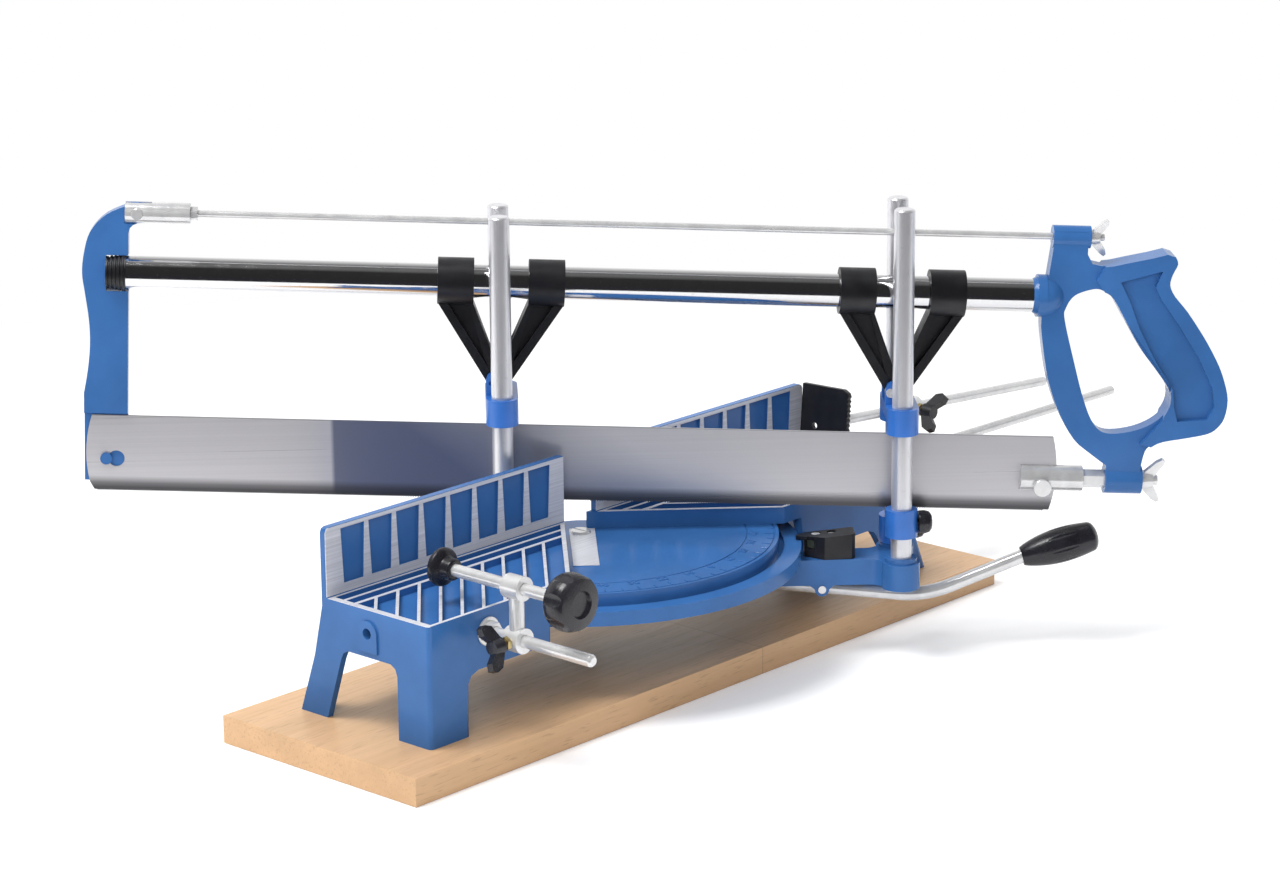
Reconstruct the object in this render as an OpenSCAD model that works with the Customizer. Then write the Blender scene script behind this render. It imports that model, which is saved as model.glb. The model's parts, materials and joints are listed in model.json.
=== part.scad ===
// Manual mitre saw with a framed blade on four guide posts. Millimetres, +Z up.
// Origin: the mitre pivot axis, on the fence face, at the underside of the board.
// +X runs along the board, +Y points behind the fence, the operator stands at -Y.

/* [Base board] */
// length of the wooden board
board_l = 502; // [400:1:650]
// depth of the board, front to back
board_d = 150; // [120:1:200]
// thickness of the board
board_t = 16; // [10:1:25]
// distance from the pivot to the left end of the board
board_left = 236; // [200:1:300]
// distance from the fence face to the front edge of the board
board_front = 101; // [80:1:140]

/* [Tables and fence] */
// height of the work table above the underside of the board
table_z = 85; // [80:0.5:100]
// distance from the pivot to the outer end of each table
table_out = 201; // [170:1:240]
// depth of each table in front of the fence
table_d = 77.5; // [60:0.5:100]
// thickness of the table deck
deck_t = 10; // [8:0.5:14]
// height of the fence above the table
fence_h = 39.3; // [25:0.1:60]
// thickness of the fence plate
fence_t = 4.2; // [4:0.1:6]
// where the slanted inner end of a table meets the fence face
inner_x = 13.7; // [10:0.1:20]
// height of the legs' arch above the underside of the board
arch_z = 58; // [40:1:65]
// casting wall thickness
wall = 4; // [3:0.5:6]
// width of a front leg
leg_w = 30; // [20:1:40]
// how far the feet of the right table stand out
foot_splay = 27.1; // [0:0.1:35]
// width of a rear leg
rear_leg_w = 13.5; // [12:0.5:30]
// depth of the sunk panels in the fence
panel_sink = 1.8; // [1:0.1:3]
// number of sunk panels in each fence
panels = 8; // [4:1:10]
// spacing of the sunk panels
panel_pitch = 20.95; // [15:0.05:24]

/* [Protractor plate] */
// radius of the raised plate
plate_r = 115; // [90:1:130]
// radius of the outer ring
ring_r = 128; // [100:1:145]
// underside of the plate above the underside of the board
plate_z = 60.2; // [55:0.1:65]
// top of the outer ring above the underside of the board
ring_z = 68.5; // [64:0.1:72]
// diameter of the pivot bolt
pivot_d = 10; // [6:0.5:14]

/* [Swing arm] */
// angle of the blade from the table's cross direction
mitre = 45; // [0:1:45]
// thickness of the swing arm
arm_t = 15.5; // [12:0.5:20]
// half width of the swing arm
arm_hw = 11; // [9:0.1:16]
// distance of the rear posts behind the pivot
rear_s = 44.25; // [40:0.05:60]
// distance of the front posts in front of the pivot
front_s = 184.86; // [160:0.01:220]
// half the distance between the two posts of a pair
post_n = 16.17; // [15:0.01:22]
// diameter of a guide post
post_d = 12; // [10:0.5:14]
// height of the post tops above the underside of the board
post_top = 266.7; // [220:0.1:320]

/* [Slides and brackets] */
// height of the front tilt pin above the underside of the board
front_pin_z = 159; // [150:0.1:240]
// height of a tilt pin measured square to the tube, from the frame's base line
pin_w = 167.3; // [150:0.1:180]
// outer diameter of the sliding collars
collar_d = 18.6; // [17:0.1:22]
// diameter of a tilt pin
pin_d = 6; // [4:0.5:8]
// distance of the rear bracket's middle from the frame's zero mark
rear_u = 53.7; // [40:0.1:70]
// distance of the front bracket's middle from the frame's zero mark
front_u = 175.3; // [150:0.1:200]
// half the distance between the two rings of a bracket
ring_u = 25.8; // [22:0.1:32]
// width of a bracket ring along the tube
ring_w = 20.5; // [14:0.5:26]
// outer diameter of a bracket ring
ring_od = 26.8; // [24:0.1:32]
// radial play of a running fit
fit = 0.05; // [0.02:0.01:0.1]

/* [Saw frame] */
// downward lean of the frame towards the handle
tilt = 2.65; // [0:0.05:5]
// diameter of the back tube
tube_d = 19; // [16:0.5:19.5]
// height of the tube axis in the frame
tube_w = 223.06; // [200:0.01:240]
// height of the tension rod's axis above the tube axis
rod_rise = 34.94; // [30:0.01:45]
// diameter of the tension rod
rod_d = 4; // [3:0.5:5]
// height of the blade
blade_h = 45; // [30:0.5:60]
// thickness of the blade
blade_t = 0.9; // [0.6:0.05:1.4]
// height of the tooth points in the frame
blade_w = 94.5; // [90:0.1:110]
// left end of the blade
blade_left = 288; // [270:0.5:300]
// right end of the blade
blade_right = 271.8; // [260:0.1:290]
// pitch of the modelled teeth
tooth_pitch = 1.4; // [1.4:0.1:6]
// thickness of the handle's grip
grip_t = 18; // [14:1:28]
// thickness of the handle's web
web_t = 11; // [9:1:13]

/* [Work clamp and length stop] */
// diameter of the length stop's bars
bar_d = 6; // [5:0.5:8]
// diameter of the clamp's bar and spindle
clamp_d = 7; // [6:0.5:8]
// distance between the two eyes of a link
link_l = 29.2; // [26:0.1:36]
// diameter of the clamp knob
knob_d = 32; // [26:1:40]
// place of the clamp bar along the left table
clamp_x = 156.5; // [130:0.5:165]
// distance of the clamp link's lower eye in front of the fence
clamp_y = 99.5; // [99:0.5:110]
// height of the clamp bar
clamp_bar_z = 72; // [70:0.1:73]
// height of the length stop's lower bar at the table's end
stop_bar_z = 72.8; // [70:0.1:74]
// place of the length stop's link along the lower bar
stop_x = 267; // [250:1:400]
// lean of the length stop's upper rod in degrees
stop_lean = 4.6; // [0:0.1:6]
// droop of the length stop's lower bar in degrees
bar_lean = 1; // [0:0.1:3]
// free length of the length stop's lower bar
stop_bar_l = 285; // [200:1:400]

/* [Hidden] */

ENAMEL = [0.2, 0.4, 0.68];
NYLON = [0.14, 0.36, 0.75];
BLACK = [0.07, 0.07, 0.075];
STEEL = [0.8, 0.8, 0.8];
BRASS = [0.75, 0.6, 0.3];
BEECH = [0.78, 0.58, 0.36];

face_gap = 0.3;
rod_w = tube_w + rod_rise;
round_fn = 96;
deck_z = table_z - deck_t;
hub_pad = 1.7;
arm_top = plate_z - hub_pad;
arm_z = arm_top - arm_t;
boss_r = post_d / 2 + 5;
boss_ring_r = post_d / 2 + 3.2;
ring_step = 2.6;
bore_r = post_d / 2 + fit;
fence_z = table_z + fence_h;
skirt_gap = 1;
front_skirt_x = sqrt(pow(ring_r, 2) - pow(table_d - wall - 1, 2)) + skirt_gap;
back_skirt_x = ring_r + skirt_gap;
skirt_z = 52;
boss_y = 31.5;
boss_z = 71.7;
pin_s = front_u * cos(tilt) + pin_w * sin(tilt);
rear_pin_s = pin_w * sin(tilt) - rear_u * cos(tilt);
rear_pin_z = front_pin_z + (rear_u + front_u) * sin(tilt);
depth_z = 74;
depth_h = 16;
far_drop = arm_top + ring_step + face_gap - depth_z;
collar_top = -8.3;
collar_h = 15.4;
bridge_h = 7;
cheek_t = 3.3;
cheek_n = post_n - post_d / 2 - 0.2;
foot_hw = cheek_n - cheek_t - face_gap;
lever_s = 139.6;
lever_z = 40.6;
lever_d = 8;
lever_in = 6.5;
lever_out = 21.7;
bend_r = 65;
corner_s = 201.1;
corner_z = 32;
clevis_z = 114.7;
detent_screw_s = [137, 146];
lever_grip_l = 46;
clamp_bar_end = 155;
clamp_pad_y = 42;
clamp_knob_y = 131;
// middles of the pins that hold the blade's two ends, and the ends of the tube
toe_u = 11.4 - blade_left;
toe_stud_z = 113.8;
clevis_pin_u = blade_right - 9.1;
tube_right = 262;
sleeve_end = toe_u + 11.3;
rivet_u = toe_u + 17.4;
fork_end = toe_u + 47.2;

// Turns from the board's axes to the blade's: x along the blade, y behind it.
module at_mitre() { rotate([0, 0, -mitre]) children(); }
// The saw frame's own axes, leaning towards the handle.
module in_frame() { at_mitre() rotate([0, tilt, 0]) children(); }
module along_x(x) { translate([x, 0, 0]) rotate([0, 90, 0]) children(); }
module rod_x(x0, x1, d) { along_x(x0) cylinder(h = x1 - x0, d = d, $fn = round_fn); }
module rod_y(y0, y1, d) {
    translate([0, y0, 0]) rotate([-90, 0, 0]) cylinder(h = y1 - y0, d = d, $fn = round_fn);
}
module box(lo, hi) { translate(lo) cube(hi - lo); }
// A smooth closed curve through the given points.
function knot(p, i) = p[(i + len(p)) % len(p)];
function bend(a, b, c, d, t) =
    0.5 * (2 * b + (c - a) * t + (2 * a - 5 * b + 4 * c - d) * t * t + (3 * b - a - 3 * c + d) * t * t * t);
function smooth(p, n) = [for (i = [0 : len(p) - 1], k = [0 : n - 1])
    bend(knot(p, i - 1), knot(p, i), knot(p, i + 1), knot(p, i + 2), k / n)];

module board() {
    color(BEECH) difference() {
        translate([-board_left, -board_front, 0]) cube([board_l, board_d, board_t]);
        for (p = screw_places()) translate([p[0], p[1], 0]) {
            translate([0, 0, -1]) cylinder(h = board_t + 2, d = 4.2, $fn = 32);
            translate([0, 0, -0.01]) cylinder(h = 2.4, d1 = 8.6, d2 = 4.2, $fn = 32);
        }
    }
}

function foot_screws(splay) = [for (p = [[leg_w, -table_d + 7.5], [rear_leg_w, fence_t + 10]])
    [table_out - p[0] / 2 + splay * 0.9, p[1]]];
function screw_places() = concat(foot_screws(foot_splay), [for (p = foot_screws(0)) [-p[0], p[1]]]);

module board_screws() {
    color(STEEL) for (p = screw_places()) translate([p[0], p[1], 0]) {
        cylinder(h = 2, d1 = 8, d2 = 4, $fn = 32);
        cylinder(h = board_t + 12, d = 4, $fn = 32);
    }
}

// Side view of the end wall with both legs: y to the right, z up, the arch between them.
module end_outline() {
    difference() {
        polygon([[-table_d, board_t], [-table_d, table_z], [3, table_z], [11, 51], [23.3, board_t]]);
        polygon([[-53, board_t - 1], [-53, arch_z - 6], [-51.5, arch_z - 2], [-48, arch_z], [-15, arch_z],
                 [-11.5, arch_z - 2], [-9.6, arch_z - 6], [2.8, board_t - 1]]);
    }
}

// Front view of one table's skirt and leg, from x0 out to the splayed foot.
module skirt_outline(splay, x0, leg) {
    foot = table_out + splay;
    inner = foot - leg;
    polygon([[x0, skirt_z], [x0, deck_z + 1], [table_out, deck_z + 1], [table_out, deck_z],
             [foot, board_t], [inner, board_t], [table_out - leg + splay * 0.25 + 1, skirt_z - 6],
             [table_out - leg + splay * 0.22 - 1.5, skirt_z - 2],
             [table_out - leg + splay * 0.2 - 7, skirt_z]]);
}

module table_plan() {
    polygon([[inner_x, 0], [inner_x - fence_t, fence_t], [table_out, fence_t], [table_out, -table_d],
             [inner_x + table_d, -table_d]]);
}

// One table casting, drawn for the side where x is positive.
module table(splay, hole_z) {
    rib = 2.5;
    pocket_z = table_z - 4;
    front_pocket = -table_d + rib;
    difference() {
        union() {
            translate([0, 0, deck_z]) linear_extrude(deck_t) table_plan();
            translate([0, fence_t, 0]) fence_plate();
            // front skirt, end wall and the legs
            intersection() {
                translate([0, -table_d + wall + 1, 0]) rotate([90, 0, 0])
                    linear_extrude(wall + 1) skirt_outline(splay, front_skirt_x, leg_w);
                box([0, -table_d, 0], [300, 0, 200]);
            }
            intersection() {
                rotate([90, 0, 90]) linear_extrude(300) end_outline();
                translate([0, 60, 0]) rotate([90, 0, 0]) linear_extrude(200) difference() {
                    leg_band(splay, 0);
                    leg_band(splay, -wall);
                }
            }
            intersection() {
                rotate([90, 0, 90]) linear_extrude(300) back_wall();
                translate([0, 60, 0]) rotate([90, 0, 0]) linear_extrude(200)
                    skirt_outline(splay, back_skirt_x, rear_leg_w);
            }
            for (p = foot_screws(splay)) translate([p[0], p[1], board_t]) cylinder(h = 24, d = 9, $fn = 32);
            end_boss(splay, hole_z);
        }
        // long grooves along the foot of the fence
        for (y = [-8.5, -17]) translate([0, 0, pocket_z]) linear_extrude(10)
            polygon([[inner_x - y + 3.5, y], [inner_x - y - 3, y + 6.5], [table_out - 4, y + 6.5],
                     [table_out - 4, y]]);
        // slanted pockets between parallel ribs
        for (i = [0 : 11]) translate([0, 0, pocket_z]) linear_extrude(10) intersection() {
            translate([inner_x + 3.5 + 16.4 * i, 0])
                polygon([[19.5, -19.5], [19.5 + 13.9, -19.5], [13.9 - front_pocket, front_pocket],
                         [-front_pocket, front_pocket]]);
            polygon([[0, -19.5], [table_out - 4, -19.5], [table_out - 4, front_pocket], [0, front_pocket]]);
        }
        // hollow underside beyond the protractor plate
        translate([0, 0, deck_z - 1]) linear_extrude(4) difference() {
            polygon([[40, -wall], [table_out - wall, -wall], [table_out - wall, -table_d + wall],
                     [inner_x + table_d - 2, -table_d + wall]]);
            circle(r = plate_r + 3, $fn = round_fn);
        }
        for (p = foot_screws(splay)) translate([p[0], p[1], 0]) cylinder(h = board_t + 14, d = 4, $fn = 32);
        for (p = plate_screw_places()) translate([p[0], p[1], 0]) cylinder(h = deck_z + 5, d = 5, $fn = 32);
    }
}

module leg_band(splay, out) {
    polygon([[table_out + out, table_z], [table_out + out, deck_z], [table_out + splay + out, board_t],
             [table_out + splay + out, 0], [table_out + splay - leg_w, 0],
             [table_out + splay - leg_w, board_t], [table_out - leg_w, deck_z],
             [table_out - leg_w, table_z]]);
}

// Rear wall under the fence, following the slope of the rear leg.
module back_wall() {
    difference() {
        polygon([[0, deck_z + 1], [0, deck_z - 2], [2.8 - 4.2, 30], [2.8, board_t], [23.3, board_t], [11, 51],
                 [fence_t, deck_z], [fence_t, deck_z + 1]]);
        polygon([[-20, -1], [23.3 - 9, board_t - 1], [23.3 - 9, board_t + 0.01], [4, 51],
                 [1, deck_z - 2], [-20, deck_z - 2]]);
    }
}

function plate_screw_places() = [for (side = [-1, 1], p = [[60, -20], [92, -45]]) [side * p[0], p[1]]];

// The upright fence: sunk panels that narrow downwards between tapering ribs.
module fence_plate() {
    difference() {
        rotate([90, 0, 0]) linear_extrude(fence_t)
            polygon([[inner_x, deck_z], [table_out, deck_z], [table_out, fence_z - 3],
                     [table_out - 0.9, fence_z - 0.9], [table_out - 3, fence_z], [inner_x, fence_z]]);
        for (i = [0 : panels - 1]) translate([table_out - 20.35 - panel_pitch * i, -fence_t, 0])
            rotate([90, 0, 0]) translate([0, 0, -panel_sink]) linear_extrude(10)
                polygon([[-7.4, table_z + 5.5], [-9, fence_z - 2.5],
                         [9, fence_z - 2.5], [7.4, table_z + 5.5]]);
    }
}

// Raised round-topped tongue on the end wall, bored for a bar.
module end_boss(splay, hole_z) {
    x0 = table_out - 6;
    x1 = table_out + (splay > 0 ? 6 : 1.2);
    translate([x0, -boss_y, hole_z]) rotate([0, 90, 0]) cylinder(h = x1 - x0, r = 7.3, $fn = 48);
    box([x0, -boss_y - 7.3, hole_z - 10.5], [x1, -boss_y + 7.3, hole_z]);
    translate([table_out - 24, -boss_y, hole_z]) rotate([0, 90, 0]) cylinder(h = 22, r = 7, $fn = 48);
}

module left_table() {
    color(ENAMEL) difference() {
        mirror([1, 0, 0]) table(0, boss_z);
        translate([0, -boss_y, boss_z]) rod_x(-table_out - 10, 30 - table_out, bar_d + 0.2);
        translate([-clamp_x, -table_d + 20, clamp_bar_z]) rotate([90, 0, 0])
            cylinder(h = 40, d = clamp_d, $fn = 48);
    }
}

module right_table() {
    color(ENAMEL) difference() {
        table(foot_splay, stop_bar_z);
        on_stop_bar() rod_x(-30, 40, bar_d);
    }
}

// Half-round plate under both tables, with an outer ring and a machined land.
module protractor_plate() {
    color(ENAMEL) difference() {
        intersection() {
            union() {
                translate([0, 0, plate_z]) cylinder(h = deck_z - plate_z, r = plate_r, $fn = 180);
                translate([0, 0, plate_z]) cylinder(h = ring_z - plate_z, r = ring_r, $fn = 180);
                rotate([0, 0, -135]) translate([-7.5, -6.5, deck_z - 1]) cube([71.5, 15, 1.5]);
            }
            union() {
                box([-200, -200, 0], [200, 5, 200]);
                cylinder(h = 200, r = 26, $fn = round_fn);
            }
        }
        translate([0, 0, ring_z - 2]) difference() {
            cylinder(h = 20, r = plate_r + 3, $fn = 180);
            translate([0, 0, -1]) cylinder(h = 22, r = plate_r, $fn = 180);
        }
        translate([0, 0, -1]) cylinder(h = 200, d = pivot_d, $fn = 48);
        for (p = plate_screw_places()) translate([p[0], p[1], 0]) {
            cylinder(h = 100, d = 5.4, $fn = 32);
            translate([0, 0, plate_z - 1]) cylinder(h = 6, d = 10, $fn = 32);
        }
        // raised protractor ring left between two turned grooves
        for (r = [97, 113]) translate([0, 0, deck_z - 0.6]) difference() {
            cylinder(h = 5, r = r, $fn = 180);
            translate([0, 0, -1]) cylinder(h = 7, r = r - 0.9, $fn = 180);
        }
    }
}

module plate_screws() {
    color(STEEL) for (p = plate_screw_places()) translate([p[0], p[1], 0]) {
        translate([0, 0, plate_z + 0.6]) cylinder(h = 4.4, d = 9, $fn = 32);
        translate([0, 0, plate_z + 2]) cylinder(h = deck_z + 4 - plate_z - 2, d = 5, $fn = 32);
    }
}

module pivot_bolt() {
    color(STEEL) {
        difference() {
            translate([0, 0, deck_z + 0.5]) cylinder(h = 1.4, d1 = 12.4, d2 = 11, $fn = 48);
            box([-0.8, -8, deck_z + 1.2], [0.8, 8, deck_z + 4]);
        }
        translate([0, 0, arm_z - 9]) cylinder(h = deck_z + 0.5 - arm_z + 9, d = pivot_d, $fn = 48);
    }
}

module pivot_nut() {
    color(STEEL) difference() {
        union() {
            translate([0, 0, arm_z - 1.5]) cylinder(h = 1.5, d = 21, $fn = 48);
            translate([0, 0, arm_z - 8]) cylinder(h = 6.5, d = 17 / cos(30), $fn = 6);
        }
        translate([0, 0, arm_z - 20]) cylinder(h = 30, d = pivot_d, $fn = 48);
    }
}

// Cast arm that swings under the plate: a hollow channel with a post boss at each corner.
module swing_arm() {
    color(ENAMEL) at_mitre() difference() {
        union() {
            box([-rear_s, -arm_hw, arm_z], [front_s, arm_hw, arm_top]);
            // rounded shoulders where the arm widens into the front bosses
            translate([0, 0, arm_z]) linear_extrude(arm_t) polygon(concat(
                [for (a = [0 : 15 : 90]) shoulder(a, 1)],
                [[front_s - 4, arm_hw + 11], [front_s - 4, -arm_hw - 11]],
                [for (a = [90 : -15 : 0]) shoulder(a, -1)]));
            for (s = [-rear_s, front_s], n = [-post_n, post_n]) translate([s, n, arm_z]) {
                cylinder(h = arm_t, r = boss_r, $fn = round_fn);
                cylinder(h = arm_t + ring_step, r = boss_ring_r, $fn = round_fn);
            }
            box([front_s - 8, -post_n, arm_z], [front_s + boss_r - 3, post_n, arm_top]);
            translate([0, 0, arm_top - 1]) cylinder(h = 1 + hub_pad, r = 16, $fn = round_fn);
            for (side = [-1, 1]) lever_ear(side);
        }
        // channel underneath, with a hub left round the pivot
        difference() {
            box([-rear_s + 14, -arm_hw + wall, arm_z - 1], [front_s - 20, arm_hw - wall, arm_top - wall]);
            cylinder(h = 100, r = 14, $fn = round_fn);
            box([78, -30, 0], [82, 30, 100]);
        }
        translate([0, 0, -1]) cylinder(h = 100, d = pivot_d + 2 * fit, $fn = 48);
        for (s = [-rear_s, front_s], n = [-post_n, post_n]) translate([s, n, 0])
            cylinder(h = 100, d = post_d, $fn = 64);
        for (s = detent_screw_s) translate([s, 0, arm_top - 10]) cylinder(h = 20, d = 3, $fn = 24);
        translate([lever_s, 0, lever_z]) rod_y(-30, 30, 4.6);
    }
}

function shoulder(a, side) = [front_s - 18 + 9 * sin(a), side * (arm_hw + 11 * (1 - cos(a)))];

module lever_ear(side) {
    n0 = side > 0 ? arm_hw - wall : -arm_hw;
    translate([lever_s, 0, lever_z]) rod_y(n0, n0 + wall, 8.4);
    translate([0, n0 + wall, 0]) rotate([90, 0, 0]) linear_extrude(wall)
        polygon([[lever_s - 4.2, lever_z], [lever_s + 4.2, lever_z], [lever_s + 7, arm_z],
                 [lever_s + 7, arm_z + 1], [lever_s - 7, arm_z + 1], [lever_s - 7, arm_z]]);
}

// One round guide post, chamfered at the top, pressed into its boss.
module post(s, n) {
    color(STEEL) at_mitre() translate([s, n, 0]) {
        translate([0, 0, arm_z]) cylinder(h = post_top - 1 - arm_z, d = post_d, $fn = 64);
        translate([0, 0, post_top - 1]) cylinder(h = 1, d1 = post_d, d2 = post_d - 2, $fn = 64);
    }
}

module rear_post_near() { post(-rear_s, -post_n); }
module rear_post_far() { post(-rear_s, post_n); }
module front_post_near() { post(front_s, -post_n); }
module front_post_far() { post(front_s, post_n); }

// Pointer and detent housing on the arm, its tip reaching over the plate's ring.
module detent_block() {
    top = ring_z + 6;
    color(BLACK) at_mitre() difference() {
        union() {
            intersection() {
                translate([0, 0, arm_top]) linear_extrude(top - arm_top)
                    polygon([[130, -3], [141, -arm_hw], [157, -arm_hw + 1], [159, -arm_hw + 3],
                             [159, 4.5], [130, 4.5]]);
                // the top rises a little away from the plate
                rotate([90, 0, 0]) translate([0, 0, -20]) linear_extrude(60)
                    polygon([[120, arm_top - 1], [170, arm_top - 1], [170, top - 1], [157, top - 1],
                             [130, top - 3.6], [120, top - 4]]);
            }
            translate([0, 0, ring_z + 0.5]) linear_extrude(2)
                polygon([[131.5, -5], [125, -3], [125, 0], [131.5, 4.5]]);
        }
        on_catch() box([-2.9, -3, -2.8], [2.9, 3, 2.8]);
        for (s = detent_screw_s) translate([s, 0, 50]) {
            cylinder(h = 50, d = 3, $fn = 24);
            translate([0, 0, top - 4.5 - 50]) cylinder(h = 8, d = 5.6, $fn = 24);
        }
    }
}

// The slanted left face of the detent housing, where the brass catch shows.
module on_catch() { translate([133.2, -5.33, ring_z - 2]) rotate([0, 0, -36]) children(); }

module detent_pin() {
    color(BRASS) at_mitre() on_catch() box([-2.5, 0.4, -2.3], [2.5, 3, 2.3]);
}

module detent_screws() {
    color(STEEL) at_mitre() for (s = detent_screw_s) translate([s, 0, 0]) {
        translate([0, 0, arm_top - 3]) cylinder(h = ring_z + 2 - arm_top + 3, d = 3, $fn = 24);
        translate([0, 0, ring_z + 1.5]) cylinder(h = 1.2, d = 5.4, $fn = 24);
    }
}

module lever_pin() {
    color(STEEL) at_mitre() {
        translate([lever_s, 0, lever_z]) rod_y(-arm_hw - 1, arm_hw + 1, 4.6);
    }
}

// Bent round bar on a cross pin under the arm: its inner end lifts the detent.
module release_lever() {
    reach = bend_r * tan((lever_in + lever_out) / 2);
    color(STEEL) at_mitre() difference() {
        union() {
            translate([corner_s, 0, corner_z]) {
                rotate([0, lever_in, 0]) rod_x(-93, 1 - reach, lever_d);
                rotate([0, -lever_out, 0]) rod_x(reach - 1, 66, lever_d);
                rotate([0, lever_in, 0]) translate([-reach, 0, bend_r]) rotate([90, 0, 0]) rotate([0, 0, -90])
                    rotate_extrude(angle = lever_in + lever_out, $fn = 96)
                        translate([bend_r, 0]) circle(d = lever_d + 0.1, $fn = 48);
            }
            translate([lever_s, 0, lever_z]) rod_y(-arm_hw + wall + face_gap, arm_hw - wall - face_gap, 9);
            translate([lever_s - 30, 0, 41]) cylinder(h = 9, d = 5, $fn = 32);
        }
        translate([lever_s, 0, lever_z]) rod_y(-30, 30, 4.6 + 2 * fit);
    }
}

// Egg-shaped plastic grip on the lever's end, with shallow flutes.
module lever_grip() {
    color(BLACK) at_mitre() translate([corner_s, 0, corner_z]) rotate([0, 90 - lever_out, 0])
        translate([0, 0, 61]) rotate([0, 6, 0]) difference() {
            rotate_extrude($fn = 64) polygon(concat([[0, 0]],
                [for (t = [0 : 0.05 : 0.9]) [grip_r(t), lever_grip_l * t]],
                [for (a = [15 : 15 : 90]) [grip_r(0.9) * cos(a), lever_grip_l * (0.9 + 0.1 * sin(a))]]));
            rotate([0, -6, 0]) translate([0, 0, -10]) cylinder(h = 15, d = lever_d, $fn = 48);
            for (a = [0 : 45 : 315]) rotate([0, 0, a]) translate([11.8, 0, 25])
                cylinder(h = 26, d = 4, center = true, $fn = 24);
        }
}

function grip_r(t) = 5.5 + 4.75 * sin(150 * pow(t, 0.85));

// Stop collar that limits the saw's depth, with its bore tapped for a knob.
module depth_collar(n, lift) {
    color(NYLON) at_mitre() translate([front_s, n, depth_z + lift]) difference() {
        cylinder(h = depth_h, d = collar_d, $fn = 64);
        translate([0, 0, -1]) cylinder(h = depth_h + 2, r = bore_r, $fn = 64);
        translate([0, 0, depth_h / 2]) rotate([0, 90, 0]) cylinder(h = 20, d = 4, $fn = 32);
    }
}

module depth_knob(n, lift) {
    r = collar_d / 2;
    color(BLACK) at_mitre() translate([front_s, n, depth_z + depth_h / 2 + lift]) rotate([0, 90, 0])
        rotate_extrude($fn = 48)
            polygon([[0, bore_r + 0.15], [2, bore_r + 0.15], [2, r + 0.4], [6.6, r + 0.4], [6.8, r + 4],
                     [6, r + 6.8], [4, r + 8.2], [0, r + 8.8]]);
}

module depth_collar_near() { depth_collar(-post_n, 0); }
module depth_collar_far() { depth_collar(post_n, far_drop); }
module depth_knob_near() { depth_knob(-post_n, 0); }
module depth_knob_far() { depth_knob(post_n, far_drop); }

// Plastic slide on a pair of posts: two collars, a bridge and two cheeks for the tilt pin.
module slide(post_s, s, z) {
    low = collar_top - collar_h;
    color(NYLON) at_mitre() translate([post_s, 0, z]) difference() {
        union() {
            for (n = [-post_n, post_n]) translate([0, n, low]) cylinder(h = collar_h, d = collar_d, $fn = 64);
            box([-collar_d / 2, -post_n, collar_top - bridge_h], [collar_d / 2, post_n, collar_top]);
            for (side = [-1, 1]) {
                n0 = side > 0 ? cheek_n - cheek_t : -cheek_n;
                translate([s - post_s, n0 + cheek_t, 0]) rotate([90, 0, 0]) linear_extrude(cheek_t)
                    polygon([[-7.2, collar_top - 0.5], [-7.2, 0.5], [-6, 3.4], [-3.6, 5], [3.6, 5], [6, 3.4],
                             [7.2, 0.5], [7.2, collar_top - 0.5]]);
            }
        }
        for (n = [-post_n, post_n]) translate([0, n, low - 1]) cylinder(h = 60, r = bore_r, $fn = 64);
        translate([s - post_s, 0, 0]) rod_y(-20, 20, pin_d);
        translate([s - post_s - 4.4, 0, -1.3]) rod_y(-cheek_n - 1, -cheek_n + 2.4, 2.5);
    }
}

module front_slide() { slide(front_s, pin_s, front_pin_z); }
module rear_slide() { slide(-rear_s, rear_pin_s, rear_pin_z); }

module slide_screws() {
    color(STEEL) at_mitre() translate([pin_s - 4.4, 0, front_pin_z - 1.3]) {
        rod_y(-cheek_n - 1.1, -cheek_n, 5.2);
        rod_y(-cheek_n - 0.5, -cheek_n + 2.4, 2.5);
    }
}

module front_pin() {
    color(STEEL) at_mitre() translate([pin_s, 0, front_pin_z]) rod_y(-cheek_n, cheek_n, pin_d);
}

module rear_pin() {
    color(STEEL) at_mitre() translate([rear_pin_s, 0, rear_pin_z]) rod_y(-cheek_n, cheek_n, pin_d);
}

// V-shaped bracket: two rings on the tube, two ribbed arms and a foot on the tilt pin.
module bracket(u, slot) {
    // corners of one arm: outer and inner edge, under the ring and at the foot
    outer_top = [ring_u + ring_w / 2 - 0.5, tube_w - ring_od / 2 + 1.5];
    inner_top = [ring_u - ring_w / 2, tube_w - ring_od / 2 + 1.9];
    outer_low = [7.4, pin_w - 0.5];
    inner_low = [5.7, pin_w + 11.8];
    color(BLACK) in_frame() translate([u, 0, 0]) difference() {
        union() {
            for (side = [0, 1]) mirror([side, 0, 0]) {
                translate([ring_u, 0, tube_w]) rod_x(-ring_w / 2, ring_w / 2, ring_od);
                bracket_part(3) polygon([outer_top, inner_top, inner_low, [-0.5, pin_w - 4], outer_low]);
                // broad flange on the outer edge, thin one on the inner edge
                bracket_part(foot_hw)
                    polygon([outer_top, outer_top - [5.6, 0], outer_low + [-4.4, 3], outer_low]);
                bracket_part(foot_hw) polygon([inner_top, inner_top + [2.4, 0], inner_low + [2.3, -0.6],
                                               [2, pin_w], [-0.5, pin_w], [-0.5, pin_w + 4]]);
            }
            translate([0, 0, pin_w]) rod_y(-foot_hw, foot_hw, 14.4);
        }
        translate([0, 0, tube_w]) rod_x(-60, 60, tube_d + 2 * fit);
        translate([0, 0, pin_w]) rod_y(-20, 20, pin_d + 2 * fit);
        if (slot > 0) for (side = [-1, 1]) translate([side * slot, 0, pin_w]) rod_y(-20, 20, pin_d + 2 * fit);
    }
}

module bracket_part(half) {
    rotate([90, 0, 0]) translate([0, 0, -half]) linear_extrude(2 * half) children();
}

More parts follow.
